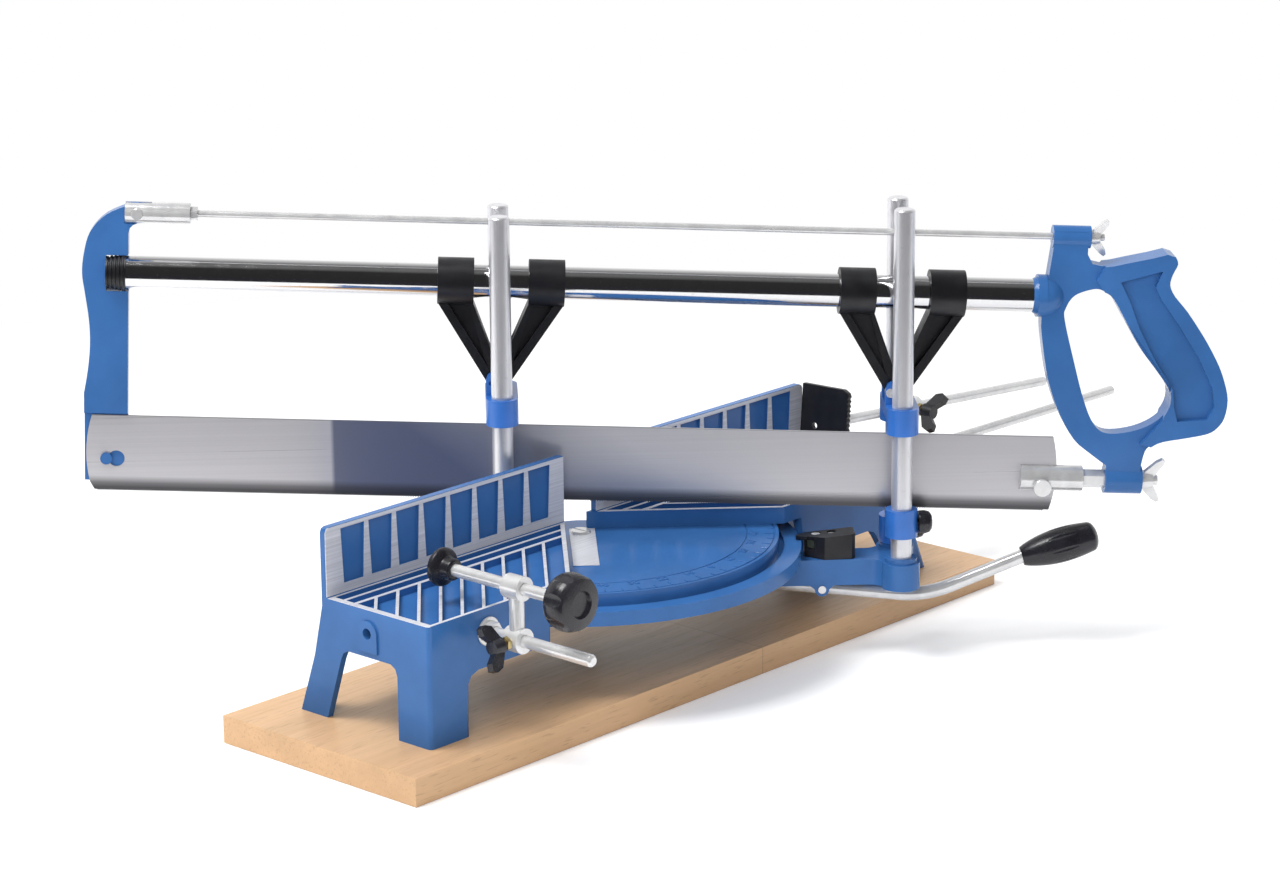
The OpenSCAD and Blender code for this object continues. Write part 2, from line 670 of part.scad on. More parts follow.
module front_bracket() { bracket(front_u, 0); }
module rear_bracket() { bracket(-rear_u, 0.35); }

module back_tube() {
    color(STEEL) in_frame() translate([0, 0, tube_w]) difference() {
        rod_x(toe_u + 7, tube_right, tube_d);
        rod_x(toe_u, tube_right + 8, tube_d - 3);
    }
}

// Ribbed plastic sleeve round the tube's left end.
module tube_end_sleeve() {
    step = (sleeve_end - toe_u) / 5;
    color(BLACK) in_frame() translate([0, 0, tube_w]) difference() {
        // tapered, with a groove behind each rib
        along_x(0) rotate_extrude($fn = round_fn) polygon(concat([[2, toe_u], [tube_d / 2 - 0.7, toe_u]],
            [for (i = [0 : 4], k = [0 : 3]) [tube_d / 2 - 0.7 + 0.4 * i + (k > 1 ? -0.25 : 0.25),
                                             toe_u + step * (i + [0.05, 0.55, 0.6, 0.95][k])]],
            [[tube_d / 2 + 0.9, sleeve_end], [2, sleeve_end]]));
        rod_x(toe_u - 10, toe_u + 40, tube_d - 3);
        rod_x(toe_u + 7, toe_u + 40, tube_d);
    }
}

// left edge of the toe plate from top to bottom, as [distance from the blade's stud, height]
toe_points = [[14.2, rod_w + 5.2], [0.2, rod_w - 1.3], [-8.8, rod_w - 11.3], [-12.3, rod_w - 23.3],
              [-13.4, tube_w - 0.4], [-11.8, tube_w - 12], [-9.6, 195.7], [-9, 181.7], [-10.2, 166.7],
              [-13, 149.7]];
toe_n0 = -3;
toe_n1 = 4.5;
// Flat cast end of the frame: carries the tube, the rod's fork and the blade.
module toe_plate() {
    blade_top = blade_w + blade_h;
    color(ENAMEL) in_frame() translate([toe_u, 0, 0]) difference() {
        union() {
            rotate([90, 0, 0]) translate([0, 0, -toe_n1]) linear_extrude(toe_n1 - toe_n0)
                polygon(concat(toe_outline(),
                    [[-12.3, blade_w + 5.9], [12.2, blade_w + 5.9], [12.6, rod_w - 11.5],
                     [13.4, rod_w - 8.7], [15.2, rod_w - 6.9], [17.6, rod_w - 6],
                     [24.1, rod_w - 5.4], [24.1, rod_w + 3], [19.6, rod_w + 5.2]]));
            translate([0, 0, tube_w]) rod_x(-0.4, 26.6, tube_d - 3);
        }
        // seat for the blade on the near side
        box([-24, -10, 0], [76, blade_t / 2, blade_top + 1.5]);
        // round mouth for the sleeved tube end
        difference() {
            translate([0, 0, tube_w]) rod_x(0, 36, tube_d + 2.6);
            translate([0, 0, tube_w]) rod_x(-14, 76, tube_d - 3);
        }
        // tongue inside the rod's fork
        for (n = [-8, 2]) box([10.4, n, rod_w - 6.2], [76, n + 6, rod_w + 12]);
        translate([rivet_u - toe_u, 0, rod_w]) rod_y(-10, 10, 4);
        translate([0, 0, toe_stud_z]) rod_y(-10, 10, 5);
    }
    color(ENAMEL) in_frame() translate([toe_u, 0, toe_stud_z]) {
        rod_y(-blade_t / 2 - 1.6, toe_n1, 5);
        rod_y(-blade_t / 2 - 1.6, -blade_t / 2, 6.8);
    }
}

function toe_outline() = [for (i = [0 : len(toe_points) - 2], k = [0 : 3])
    bend(toe_points[max(i - 1, 0)], toe_points[i], toe_points[i + 1],
         toe_points[min(i + 2, len(toe_points) - 1)], k / 4)];

// distance between the handle's two eyes that its outline is drawn for
handle_h = 143.3;
drawn_rod_w = clevis_z + handle_h;
// stretches points of that outline to the distance in use
function to_eyes(points) = [for (p = points)
    [p[0], clevis_z + (p[1] - clevis_z) * (rod_w - clevis_z) / handle_h]];

handle_outer = [[330.4, 249.4], [331.9, 245.3], [329.3, 239], [328.3, 232.9], [331.6, 226.4], [339.3, 217.8],
                [348, 206], [353.7, 197.4], [360, 186.5], [364.1, 176.8], [366.9, 166.1], [365.8, 155.3],
                [362, 149], [356.6, 145.4], [345.1, 142.7], [331.2, 140], [325, 137], [321.7, 133.2],
                [320, 124.7]];
handle_left = [[299.5, 124.2], [289.7, 131.2], [279.7, 139.4], [270.5, 154.2], [262.8, 173.1], [257.9, 195],
               [256, 212.1], [258.6, 235.2], [260.3, drawn_rod_w - 5.8]];
finger_hole = [[285.1, 228.8], [274.5, 224.8], [269.7, 217.2], [269.6, 210.1], [276.5, 186], [283.9, 162.9],
               [290.8, 148.7], [299.3, 143.5], [315, 145.6], [327.4, 152], [333.2, 160.5], [333, 170.1],
               [325.2, 181.2], [314.9, 194.1], [304.4, 211], [296.5, 223.8], [291, 227.8]];
grip_recess = [[299.8, 233.9], [323.6, 241], [320.2, 231.5], [323.7, 224.5], [335.3, 209.4], [348.4, 190.1],
               [357.3, 173.1], [359.5, 161.1], [355.9, 153.8], [338.5, 152.2], [336.1, 160.6],
               [334.7, 171.3], [323.6, 187.2], [312.8, 206.5], [305.8, 222.9]];

function open_curve(p, n) = concat([for (i = [0 : len(p) - 2], k = [0 : n - 1])
    bend(p[max(i - 1, 0)], p[i], p[i + 1], p[min(i + 2, len(p) - 1)], k / n)], [p[len(p) - 1]]);

function handle_outline() = concat(
    [[260.3, drawn_rod_w + 4], [280.2, drawn_rod_w + 4], [280.2, drawn_rod_w - 9], [283.4, 243.5],
     [288.7, 242.4], [295.5, 243.3], [305.8, 245.8], [317.2, 248.4], [325.7, 250.8]],
    open_curve(handle_outer, 3), [[320, 118], [300, 118]], open_curve(handle_left, 3));

// Closed cast handle: recessed pistol grip, finger hole, tube socket and two bored eyes.
module saw_handle() {
    color(ENAMEL) in_frame() difference() {
        union() {
            handle_slab(web_t / 2) polygon(to_eyes(handle_outline()));
            // thicker grip behind the finger hole
            handle_slab(grip_t / 2) intersection() {
                polygon(to_eyes(handle_outline()));
                polygon(to_eyes([[292, 245], [286, 234], [302, 214], [334, 172], [330, 152], [318, 138],
                                 [400, 120], [400, 260], [300, 260]]));
            }
            translate([0, 0, rod_w]) rod_x(260, 281.8, 13);
            translate([0, 0, clevis_z]) rod_x(299.6, 321.3, 16.5);
            translate([0, 0, tube_w]) rod_x(tube_right - 8.9, tube_right - 4, 24.5);
            translate([tube_right - 4.5, 0, tube_w]) sphere(d = 23.6, $fn = 64);
        }
        handle_slab(30) polygon(smooth(to_eyes(finger_hole), 5));
        for (side = [-1, 1]) translate([0, side * grip_t / 2, 0])
            handle_slab(3.5) polygon(to_eyes(grip_recess));
        translate([0, 0, rod_w]) rod_x(200, 300, rod_d + 0.4);
        translate([0, 0, clevis_z]) rod_x(290, 330, 6.4);
        translate([0, 0, tube_w]) rod_x(200, tube_right, tube_d);
    }
}

module handle_slab(half) {
    rotate([90, 0, 0]) translate([0, 0, -half]) linear_extrude(2 * half) children();
}

// Thin blade with bowed ends, a keyhole at the toe and triangular teeth along the edge.
module saw_blade() {
    top = blade_w + blade_h;
    gum = 0.6 * tooth_pitch;
    count = floor((blade_left + blade_right - 12) / tooth_pitch);
    start = -blade_left + 6;
    color(STEEL) in_frame() difference() {
        rotate([90, 0, 0]) translate([0, 0, -blade_t / 2]) linear_extrude(blade_t) polygon(concat(
            [[-blade_left + 4.6, blade_w + gum]],
            [for (i = [0 : count - 1], k = [0, 1])
                k == 0 ? [start + i * tooth_pitch, blade_w + gum]
                       : [start + (i + 0.5) * tooth_pitch, blade_w]],
            [[start + count * tooth_pitch, blade_w + gum], [blade_right - 4.6, blade_w + gum]],
            [for (t = [0 : 0.1 : 1]) [blade_right - bow(t), blade_w + gum + (blade_h - gum) * t]],
            [[blade_right - 3.4, top], [-blade_left + 3.4, top]],
            [for (t = [1 : -0.1 : 0.05]) [-blade_left + bow(t), blade_w + gum + (blade_h - gum) * t]]));
        translate([toe_u + 5.7, 0, toe_stud_z]) rod_y(-5, 5, 9.4);
        translate([toe_u, 0, toe_stud_z]) rod_y(-5, 5, 5.2);
        box([toe_u, -5, toe_stud_z - 2.6], [toe_u + 5.7, 5, toe_stud_z + 2.6]);
        translate([clevis_pin_u, 0, clevis_z - 3.9]) rod_y(-5, 5, 5);
    }
}

// How far the bowed ends fall back, from 0 at half height.
function bow(t) = 3.2 * pow(2 * t - 1, 2);

// Round clevis that holds the blade's right end and turns into a threaded shank.
module clevis() {
    color(STEEL) in_frame() difference() {
        union() {
            translate([0, 0, clevis_z]) rod_x(clevis_pin_u - 12.3, 286.7, 15);
            along_x(286.7) translate([-clevis_z, 0, 0]) cylinder(h = 12.9, d = 11, $fn = 6);
            translate([0, 0, clevis_z]) rod_x(286.7, 331, 6);
        }
        box([clevis_pin_u - 22, -blade_t / 2, 90], [blade_right + 4.2, blade_t / 2, 140]);
        translate([clevis_pin_u, 0, clevis_z - 3.9]) rod_y(-20, 20, 5);
    }
}

module clevis_pin() {
    color(STEEL) in_frame() translate([clevis_pin_u, 0, clevis_z - 3.9]) {
        rod_y(-9.4, 8.4, 5);
        rod_y(-10.6, -7.6, 10.5);
    }
}

// Round hub with two raised wings, made along +Z.
module wing_nut(hub_d, hub_h, span, bore) {
    difference() {
        union() {
            cylinder(h = hub_h, d1 = hub_d, d2 = hub_d * 0.78, $fn = 48);
            for (turn = [0, 180]) rotate([90, 0, turn]) translate([0, 0, -1.3]) linear_extrude(2.6)
                polygon([[0, 1], [hub_d * 0.42, 0.8], [span / 2 - 2, hub_h * 1.1], [span / 2, hub_h * 1.55],
                         [span / 2 - 1.2, hub_h * 1.8], [span / 2 - 3.6, hub_h * 1.7], [hub_d * 0.2, hub_h]]);
        }
        translate([0, 0, -1]) cylinder(h = hub_h + 20, d = bore, $fn = 32);
    }
}

module blade_wing_nut() {
    color(STEEL) in_frame() translate([321.3, 0, clevis_z]) rotate([0, 90, 0]) rotate([0, 0, 20])
        wing_nut(12, 7, 30, 6);
}

module tension_rod() {
    color(STEEL) in_frame() translate([0, 0, rod_w]) rod_x(fork_end - 2.6, 290, rod_d);
}

// Forked sleeve on the toe plate's tongue, tapped for the tension rod.
module tension_sleeve() {
    color(STEEL) in_frame() difference() {
        translate([0, 0, rod_w]) rod_x(rivet_u - 6.7, fork_end, 12);
        box([rivet_u - 12, -2, rod_w - 18], [rivet_u + 8.2, 2, rod_w + 22]);
        translate([0, 0, rod_w]) rod_x(fork_end - 10.6, fork_end + 30, rod_d);
        translate([rivet_u, 0, rod_w]) rod_y(-10, 10, 4);
        // spot face for the rivet's head
        translate([rivet_u, 0, rod_w]) rod_y(-10, -5.2, 6.6);
    }
}

module tension_nut() {
    color(STEEL) in_frame() difference() {
        along_x(fork_end) translate([-rod_w, 0, 0]) cylinder(h = 4, d = 8, $fn = 6);
        translate([0, 0, rod_w]) rod_x(fork_end - 10, fork_end + 30, rod_d);
    }
}

module tension_rivet() {
    color(STEEL) in_frame() translate([rivet_u, 0, rod_w]) {
        rod_y(-5.5, 5.5, 4);
        rod_y(-6.6, -5.2, 6.4);
    }
}

module tension_wing_nut() {
    color(STEEL) in_frame() translate([281.8, 0, rod_w]) rotate([0, 90, 0]) rotate([0, 0, 15])
        wing_nut(9, 5.5, 23, rod_d);
}

// Bar screwed into the front of the left table, its end rounded.
module clamp_bar() {
    tip = 1.5;
    color(STEEL) translate([-clamp_x, 0, clamp_bar_z]) {
        rod_y(-clamp_bar_end + tip, -table_d + 15, clamp_d);
        translate([0, -clamp_bar_end + tip, 0]) rotate([90, 0, 0])
            cylinder(h = tip, d1 = clamp_d, d2 = clamp_d - 2.4, $fn = 48);
    }
}

module clamp_bar_nut() {
    color(STEEL) difference() {
        translate([-clamp_x, -table_d, clamp_bar_z]) rotate([90, 0, 0]) {
            cylinder(h = 1.4, d = 16, $fn = 48);
            cylinder(h = 6, d = 12.4, $fn = 6);
        }
        translate([-clamp_x, 0, clamp_bar_z]) rod_y(-200, 0, clamp_d);
    }
}

// Two eyes bored for a rod, joined by a round web; the eyes lie along Y.
module link_body(rod, upper_lean) {
    difference() {
        union() {
            rod_y(-5.5, 5.5, 14);
            translate([0, 0, link_l]) rotate([upper_lean, 0, 0]) rod_y(-6, 6, 13.4);
            cylinder(h = link_l - 4, d = 8.4, $fn = 48);
        }
        rod_y(-30, 30, rod + 2 * fit);
        translate([0, 0, link_l]) rotate([upper_lean, 0, 0]) rod_y(-30, 30, rod + 2 * fit);
    }
}

// Lock screw of a link's eye: a brass stud with a hexagon, made along +Z from its inner end.
module wing_stud() {
    color(BRASS) {
        cylinder(h = 9, d = 5, $fn = 32);
        translate([0, 0, 4.2]) cylinder(h = 2.6, d = 8, $fn = 6);
    }
}

// Black grip with two wings on the end of the stud.
module wing_grip(angle) {
    color(BLACK) rotate([0, 0, angle]) translate([0, 0, 9]) {
        cylinder(h = 7, d1 = 9.4, d2 = 8.4, $fn = 32);
        for (side = [0, 180]) rotate([90, 0, side]) translate([0, 0, -2.2]) linear_extrude(4.4)
            polygon([[0, 0.5], [4.5, 0.5], [11.5, 4.5], [13, 9], [11.5, 12], [7.5, 11.5], [3, 6.8],
                     [0, 6.8]]);
    }
}

module clamp_link() {
    color(STEEL) translate([-clamp_x, -clamp_y, clamp_bar_z]) difference() {
        link_body(clamp_d, 0);
        rotate([0, -90, 0]) translate([0, 0, clamp_d / 2]) cylinder(h = 10, d = 5, $fn = 32);
    }
}

module clamp_spindle() {
    color(STEEL) translate([-clamp_x, 0, clamp_bar_z + link_l])
        rod_y(-clamp_knob_y - 3, -clamp_pad_y - 8, clamp_d);
}

module clamp_pad() {
    color(BLACK) translate([-clamp_x, -clamp_pad_y, clamp_bar_z + link_l]) rotate([90, 0, 0]) difference() {
        rotate_extrude($fn = 64) polygon([[0, 0], [9.8, 0], [10.75, 1.2], [10.75, 3.2], [9.6, 4.6], [6.6, 6],
                                          [6, 11.2], [5.2, 12], [0, 12]]);
        translate([0, 0, 8]) cylinder(h = 20, d = clamp_d, $fn = 48);
    }
}

// Lobed knob: a thick disc with scallops round its rim and a sunk middle.
module clamp_knob() {
    rim = knob_d / 2;
    color(BLACK) translate([-clamp_x, -clamp_knob_y, clamp_bar_z + link_l]) rotate([90, 0, 0]) difference() {
        rotate_extrude($fn = 96) polygon(concat([[0, -5], [7, -5], [8, 0], [rim - 4.5, 0.4]],
            [for (a = [-60 : 20 : 60]) [rim - 4 + 4 * cos(a), 7.9 + 8 * sin(a)]],
            [[rim - 4.5, 15.4], [7.6, 16], [6.6, 14], [0, 14]]));
        for (a = [0 : 360 / 7 : 359]) rotate([0, 0, a + 8]) translate([rim + 4, 0, -1])
            cylinder(h = 20, r = 5.6, $fn = 48);
        translate([0, 0, -10]) cylinder(h = 13, d = clamp_d, $fn = 48);
    }
}

module at_clamp_stud() {
    translate([-clamp_x, -clamp_y, clamp_bar_z]) rotate([0, -90, 0])
        translate([0, 0, clamp_d / 2 + 0.2]) children();
}
module clamp_wing_stud() { at_clamp_stud() wing_stud(); }
module clamp_wing_grip() { at_clamp_stud() wing_grip(21); }

// The lower bar of the length stop droops slightly from the table's end.
module on_stop_bar() {
    translate([table_out, -boss_y, stop_bar_z]) rotate([0, bar_lean, 0]) children();
}
module at_stop_eye() { on_stop_bar() translate([stop_x - table_out, 0, 0]) children(); }
module stop_bar() { color(STEEL) on_stop_bar() rod_x(-20, stop_bar_l, bar_d); }

module stop_link() {
    color(STEEL) at_stop_eye() rotate([0, 0, 90]) difference() {
        link_body(bar_d, stop_lean - bar_lean);
        for (z = [0, link_l]) translate([0, 0, z]) rotate([0, -90, 0]) translate([0, 0, bar_d / 2])
            cylinder(h = 10, d = 5, $fn = 32);
    }
}

module at_stop_stud(z) {
    at_stop_eye() rotate([0, 0, 90]) translate([0, 0, z]) rotate([0, -90, 0])
        translate([0, 0, bar_d / 2 + 0.2]) children();
}
module stop_upper_stud() { at_stop_stud(link_l) wing_stud(); }
module stop_upper_grip() { at_stop_stud(link_l) wing_grip(143); }
module stop_lower_stud() { at_stop_stud(0) wing_stud(); }
module stop_lower_grip() { at_stop_stud(0) wing_grip(0); }

// Upper rod of the length stop, leaning a little because the eye is loose.
module on_stop_rod() {
    at_stop_eye() translate([0, 0, link_l]) rotate([0, stop_lean - bar_lean, 0]) children();
}

module stop_rod() { color(STEEL) on_stop_rod() rod_x(-66, 142, bar_d); }

// Black end stop with a serrated front edge.
module stop_plate() {
    color(BLACK) on_stop_rod() difference() {
        translate([-68.5, 0, 0]) rotate([90, 0, 90]) linear_extrude(3.4) difference() {
            polygon(concat([[boss_y - 0.6, -17], [boss_y - 0.6, 18.6], [-1, 19.4], [-4.6, 17.6]],
                [for (i = [0 : 10], k = [0, 1]) [-5.6 + (k == 0 ? 0 : 1), 15.4 - 3 * i - 1.5 * k]],
                [[-5, -17]]));
            translate([20, -6.5]) circle(d = 4, $fn = 32);
        }
        rod_x(-66, 142, bar_d);
    }
}

board();
board_screws();
left_table();
right_table();
protractor_plate();
plate_screws();
pivot_bolt();
pivot_nut();
swing_arm();
rear_post_near();
rear_post_far();
front_post_near();
front_post_far();
detent_block();
detent_screws();
detent_pin();
lever_pin();
release_lever();
lever_grip();
depth_collar_near();
depth_collar_far();
depth_knob_near();
depth_knob_far();
front_slide();
rear_slide();
slide_screws();
front_pin();
rear_pin();
front_bracket();
rear_bracket();
back_tube();
tube_end_sleeve();
toe_plate();
saw_handle();
saw_blade();
clevis();
clevis_pin();
blade_wing_nut();
tension_rod();
tension_sleeve();
tension_nut();
tension_rivet();
tension_wing_nut();
clamp_bar();
clamp_bar_nut();
clamp_link();
clamp_spindle();
clamp_pad();
clamp_knob();
clamp_wing_stud();
clamp_wing_grip();
stop_bar();
stop_link();
stop_upper_stud();
stop_upper_grip();
stop_lower_stud();
stop_lower_grip();
stop_rod();
stop_plate();
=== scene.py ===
"""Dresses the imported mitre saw: enamelled castings, chromed tubes, plastic fittings and a beech board."""

import json
import math

import bmesh
import bpy
from bpy.props import FloatProperty, FloatVectorProperty, IntProperty, PointerProperty
from mathutils import Matrix, Vector


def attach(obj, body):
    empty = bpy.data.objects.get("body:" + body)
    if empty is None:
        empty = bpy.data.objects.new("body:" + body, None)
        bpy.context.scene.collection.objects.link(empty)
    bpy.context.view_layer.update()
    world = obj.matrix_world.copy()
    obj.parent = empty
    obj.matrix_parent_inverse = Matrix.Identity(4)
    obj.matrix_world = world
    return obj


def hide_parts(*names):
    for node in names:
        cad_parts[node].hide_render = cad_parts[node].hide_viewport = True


bl_info = {
    "name": "Mitre saw dresser",
    "version": (1, 0, 0),
    "blender": (4, 5, 0),
    "location": "3D View > Sidebar > Mitre saw",
    "description": "Builds the finished look of a manual mitre saw around its packed solids",
    "category": "Object",
}

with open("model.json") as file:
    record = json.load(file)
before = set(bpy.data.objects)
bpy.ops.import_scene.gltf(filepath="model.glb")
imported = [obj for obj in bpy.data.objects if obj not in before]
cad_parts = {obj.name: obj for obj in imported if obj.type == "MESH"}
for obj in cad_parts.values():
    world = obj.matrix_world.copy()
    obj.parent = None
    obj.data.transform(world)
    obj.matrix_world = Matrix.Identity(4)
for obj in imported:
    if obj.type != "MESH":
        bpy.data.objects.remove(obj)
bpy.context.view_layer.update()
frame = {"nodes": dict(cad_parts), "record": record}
NODES = frame["nodes"]
BODY_OF = {name: body for body, names in frame["record"]["behaviour"]["bodies"].items() for name in names}
SLOT_OF = {part["node"]: part["material_slot"] for part in frame["record"]["subparts"]}

MM = 0.001
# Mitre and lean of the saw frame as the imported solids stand
MITRE = math.radians(-45)
LEAN = math.radians(2.65)
BLADE_AXES = Matrix.Rotation(MITRE, 4, "Z")
FRAME_AXES = BLADE_AXES @ Matrix.Rotation(LEAN, 4, "Y")
TABLE_TOP = 85 * MM
FENCE_TOP = 124.3 * MM
TABLE_DEPTH = 77.5 * MM
# Large radius on the upright corners of the front legs: edges that rise more than LEG_EDGE and lie within
# LEG_LEAN of the table's front
LEG_RADIUS = 4.5 * MM
LEG_EDGE = 20 * MM
LEG_LEAN = 3 * MM
PLATE_TOP = 75 * MM
LAND_TOP = 75.5 * MM
# Boxes of space that catch the machined faces: how far they reach sideways, and over and under a flat face
FAR = 300 * MM
SKIN = 0.2 * MM
# How far they stop short of the front and top edges; the fence's box also starts this far before its face
EDGE_LIP = 0.3 * MM
# How far the table's box stops short of the corner with the fence
CORNER_LIP = 0.5 * MM
# How deep the fence's box goes into the fence, and how high over the table it starts
FACE_LIP = 0.4 * MM
# Direction of the grinding marks on machined faces
GRINDING_TURN = (0, 0, math.radians(38))
# Radii of the plate's scale: outer end of the marks and middle of the numbers
MARK_RADIUS = 112 * MM
NUMBER_RADIUS = 100.5 * MM
NUMBER_SIZE = 7 * MM
# Rounding of edges: drawn bars, small fittings, the board and the handle
BAR_ROUND = 0.2 * MM
FITTING_ROUND = 0.3 * MM
BOARD_ROUND = 0.7 * MM
HANDLE_ROUND = 2.4 * MM
# Height of the tooth points along the frame's own upward axis
BLADE_EDGE = 94.5 * MM
# The joint across the board's veneer, and half its width
VENEER_JOINT_X = 44 * MM
VENEER_GAP = 0.4 * MM

# The camera, solved from the photograph's straight edges
CAMERA_PLACE = Vector((-1.5062, -1.4119, 0.7074))
CAMERA_AZIMUTH = math.radians(-47.82)
CAMERA_RISE = math.radians(15.58)
CAMERA_ROLL = math.radians(-0.49)
FOCAL_LENGTH = 104.69
SENSOR_WIDTH = 36.0
TO_CAMERA = Vector((CAMERA_PLACE.x, CAMERA_PLACE.y, 0)).normalized()
# The stretch of the blade with a painted dark reflection in its colour, measured along the blade: a sharp
# start, and an end that leans and fades
DARK_REFLECTION_START = -143 * MM
DARK_REFLECTION_EDGE = 2.4 * MM
DARK_REFLECTION_END = -45 * MM
DARK_REFLECTION_FADE = 120 * MM
DARK_REFLECTION_LEAN = 1.3
# The dark strip over the teeth, and the blade's top edge
DARK_STRIP = 9 * MM
BLADE_TOP = BLADE_EDGE + 45 * MM
# How far the white paper reaches in front of the object
PAPER_EDGE = 0.38


class MitreSawColours(bpy.types.PropertyGroup):
    """Colours that a user would change."""

    enamel: FloatVectorProperty(
        name="Enamel", description="Blue enamel of the castings", subtype="COLOR",
        size=3, min=0, max=1, default=(0.038, 0.135, 0.365))
    nylon: FloatVectorProperty(
        name="Blue plastic", description="Slides and depth collars", subtype="COLOR",
        size=3, min=0, max=1, default=(0.03, 0.15, 0.52))
    plastic: FloatVectorProperty(
        name="Black plastic", description="Brackets, knobs and grips", subtype="COLOR",
        size=3, min=0, max=1, default=(0.006, 0.006, 0.008))
    beech: FloatVectorProperty(
        name="Beech", description="Veneer of the base board", subtype="COLOR",
        size=3, min=0, max=1, default=(0.64, 0.40, 0.215))
    machined: FloatVectorProperty(
        name="Machined faces", description="Bare metal on the fence and the table ribs", subtype="COLOR",
        size=3, min=0, max=1, default=(0.72, 0.73, 0.78))


class MitreSawSizes(bpy.types.PropertyGroup):
    """Sizes that a user would change."""

    cast_round: FloatProperty(
        name="Casting edge", description="Rounding of cast edges", subtype="DISTANCE",
        unit="LENGTH", min=0, default=0.0009)
    moulded_round: FloatProperty(
        name="Moulded edge", description="Rounding of plastic edges", subtype="DISTANCE",
        unit="LENGTH", min=0, default=0.0005)
    tick_step: IntProperty(
        name="Scale step", description="Degrees between marks of the protractor scale", min=1, default=5)


def colours():
    return bpy.context.scene.mitre_saw_colours


def sizes():
    return bpy.context.scene.mitre_saw_sizes


# Materials


class Graph:
    """A node tree under construction, with short calls for its nodes."""

    def __init__(self, tree):
        self.tree = tree

    def link(self, source, target):
        self.tree.links.new(source, target)

    def node(self, kind, inputs=None, **attributes):
        made = self.tree.nodes.new(kind)
        for name, value in attributes.items():
            setattr(made, name, value)
        for name, value in (inputs or {}).items():
            if isinstance(value, bpy.types.NodeSocket):
                self.link(value, made.inputs[name])
            else:
                made.inputs[name].default_value = value
        return made

    def ramp(self, value, stops):
        """A grey that follows a value through stops of position and grey."""
        made = self.node("ShaderNodeValToRGB", {"Fac": value})
        elements = made.color_ramp.elements
        for i, (position, grey) in enumerate(stops):
            element = elements[i] if i < 2 else elements.new(position)
            element.position = position
            element.color = (grey, grey, grey, 1)
        return made.outputs["Color"]

    def math(self, operation, a, b):
        return self.node("ShaderNodeMath", {0: a, 1: b}, operation=operation).outputs[0]

    def mix(self, factor, a, b):
        made = self.node("ShaderNodeMix", {0: factor}, data_type="RGBA")
        for index, value in ((6, a), (7, b)):
            if isinstance(value, bpy.types.NodeSocket):
                self.link(value, made.inputs[index])
            else:
                made.inputs[index].default_value = (*value, 1)
        return made.outputs[2]


class Finish(Graph):
    """A node material under construction."""

    def __init__(self, name):
        self.material = bpy.data.materials.new(name)
        self.material.use_nodes = True
        super().__init__(self.material.node_tree)
        self.shader = self.tree.nodes["Principled BSDF"]
        self.place = self.node("ShaderNodeTexCoord").outputs["Object"]

    def set(self, **values):
        for name, value in values.items():
            self.shader.inputs[name.replace("_", " ")].default_value = value

    def stretched(self, scale, turn=(0, 0, 0)):
        made = self.node("ShaderNodeMapping", {"Vector": self.place, "Scale": scale, "Rotation": turn})
        return made.outputs[0]

    def noise(self, vector, scale, detail, roughness=0.5):
        made = self.node("ShaderNodeTexNoise", {"Vector": vector, "Scale": scale, "Detail": detail,
                                                "Roughness": roughness})
        return made.outputs["Fac"]

    def inside(self, axis, low, high):
        """1 where the place lies between low and high along one axis, otherwise 0."""
        place = self.node("ShaderNodeSeparateXYZ", {0: self.place}).outputs[axis]
        above = self.math("GREATER_THAN", place, low)
        return self.math("MULTIPLY", above, self.math("LESS_THAN", place, high))

    def bump(self, height, strength, distance):
        made = self.node("ShaderNodeBump", {"Height": height, "Strength": strength, "Distance": distance})
        self.link(made.outputs[0], self.shader.inputs["Normal"])

    def colour(self, value):
        self.link(value, self.shader.inputs["Base Color"])

    def rough(self, value):
        self.link(value, self.shader.inputs["Roughness"])


def shade(colour, factor):
    return tuple(min(1.0, c * factor) for c in colour)


def enamel_colour(f):
    """Thick gloss enamel: a slightly uneven blue with a fine pale mottle."""
    base = tuple(colours().enamel)
    cloud = f.noise(f.place, 22, 3)
    fine = f.noise(f.place, 160, 2)
    uneven = f.mix(f.ramp(cloud, ((0.3, 0.0), (0.72, 1.0))), shade(base, 0.84), shade(base, 1.12))
    return f.mix(f.math("MULTIPLY", fine, 0.12), uneven, shade(base, 1.5))


def enamel_skin(f):
    """The shallow waves and orange peel that sprayed enamel dries with."""
    peel = f.noise(f.place, 420, 2)
    wave = f.noise(f.place, 60, 2)
    f.bump(f.math("ADD", f.math("MULTIPLY", peel, 0.35), wave), 0.10, 0.0006)
    f.set(Specular_IOR_Level=0.28)


def blue_enamel():
    f = Finish("blue_enamel")
    f.colour(enamel_colour(f))
    enamel_skin(f)
    f.rough(f.ramp(f.noise(f.place, 30, 2), ((0.3, 0.16), (0.7, 0.27))))
    f.set(Coat_Weight=0.05, Coat_Roughness=0.05)
    return f.material


def ground_metal(f, turn, base):
    """Bare metal with straight grinding marks."""
    marks = f.noise(f.stretched((6, 900, 900), turn), 1.0, 4, 0.7)
    patches = f.noise(f.place, 40, 2)
    marked = f.mix(f.ramp(marks, ((0.25, 0.0), (0.75, 1.0))), shade(base, 0.72), shade(base, 1.22))
    return f.mix(f.ramp(patches, ((0.35, 0.0), (0.8, 0.5))), marked, shade(base, 0.8))


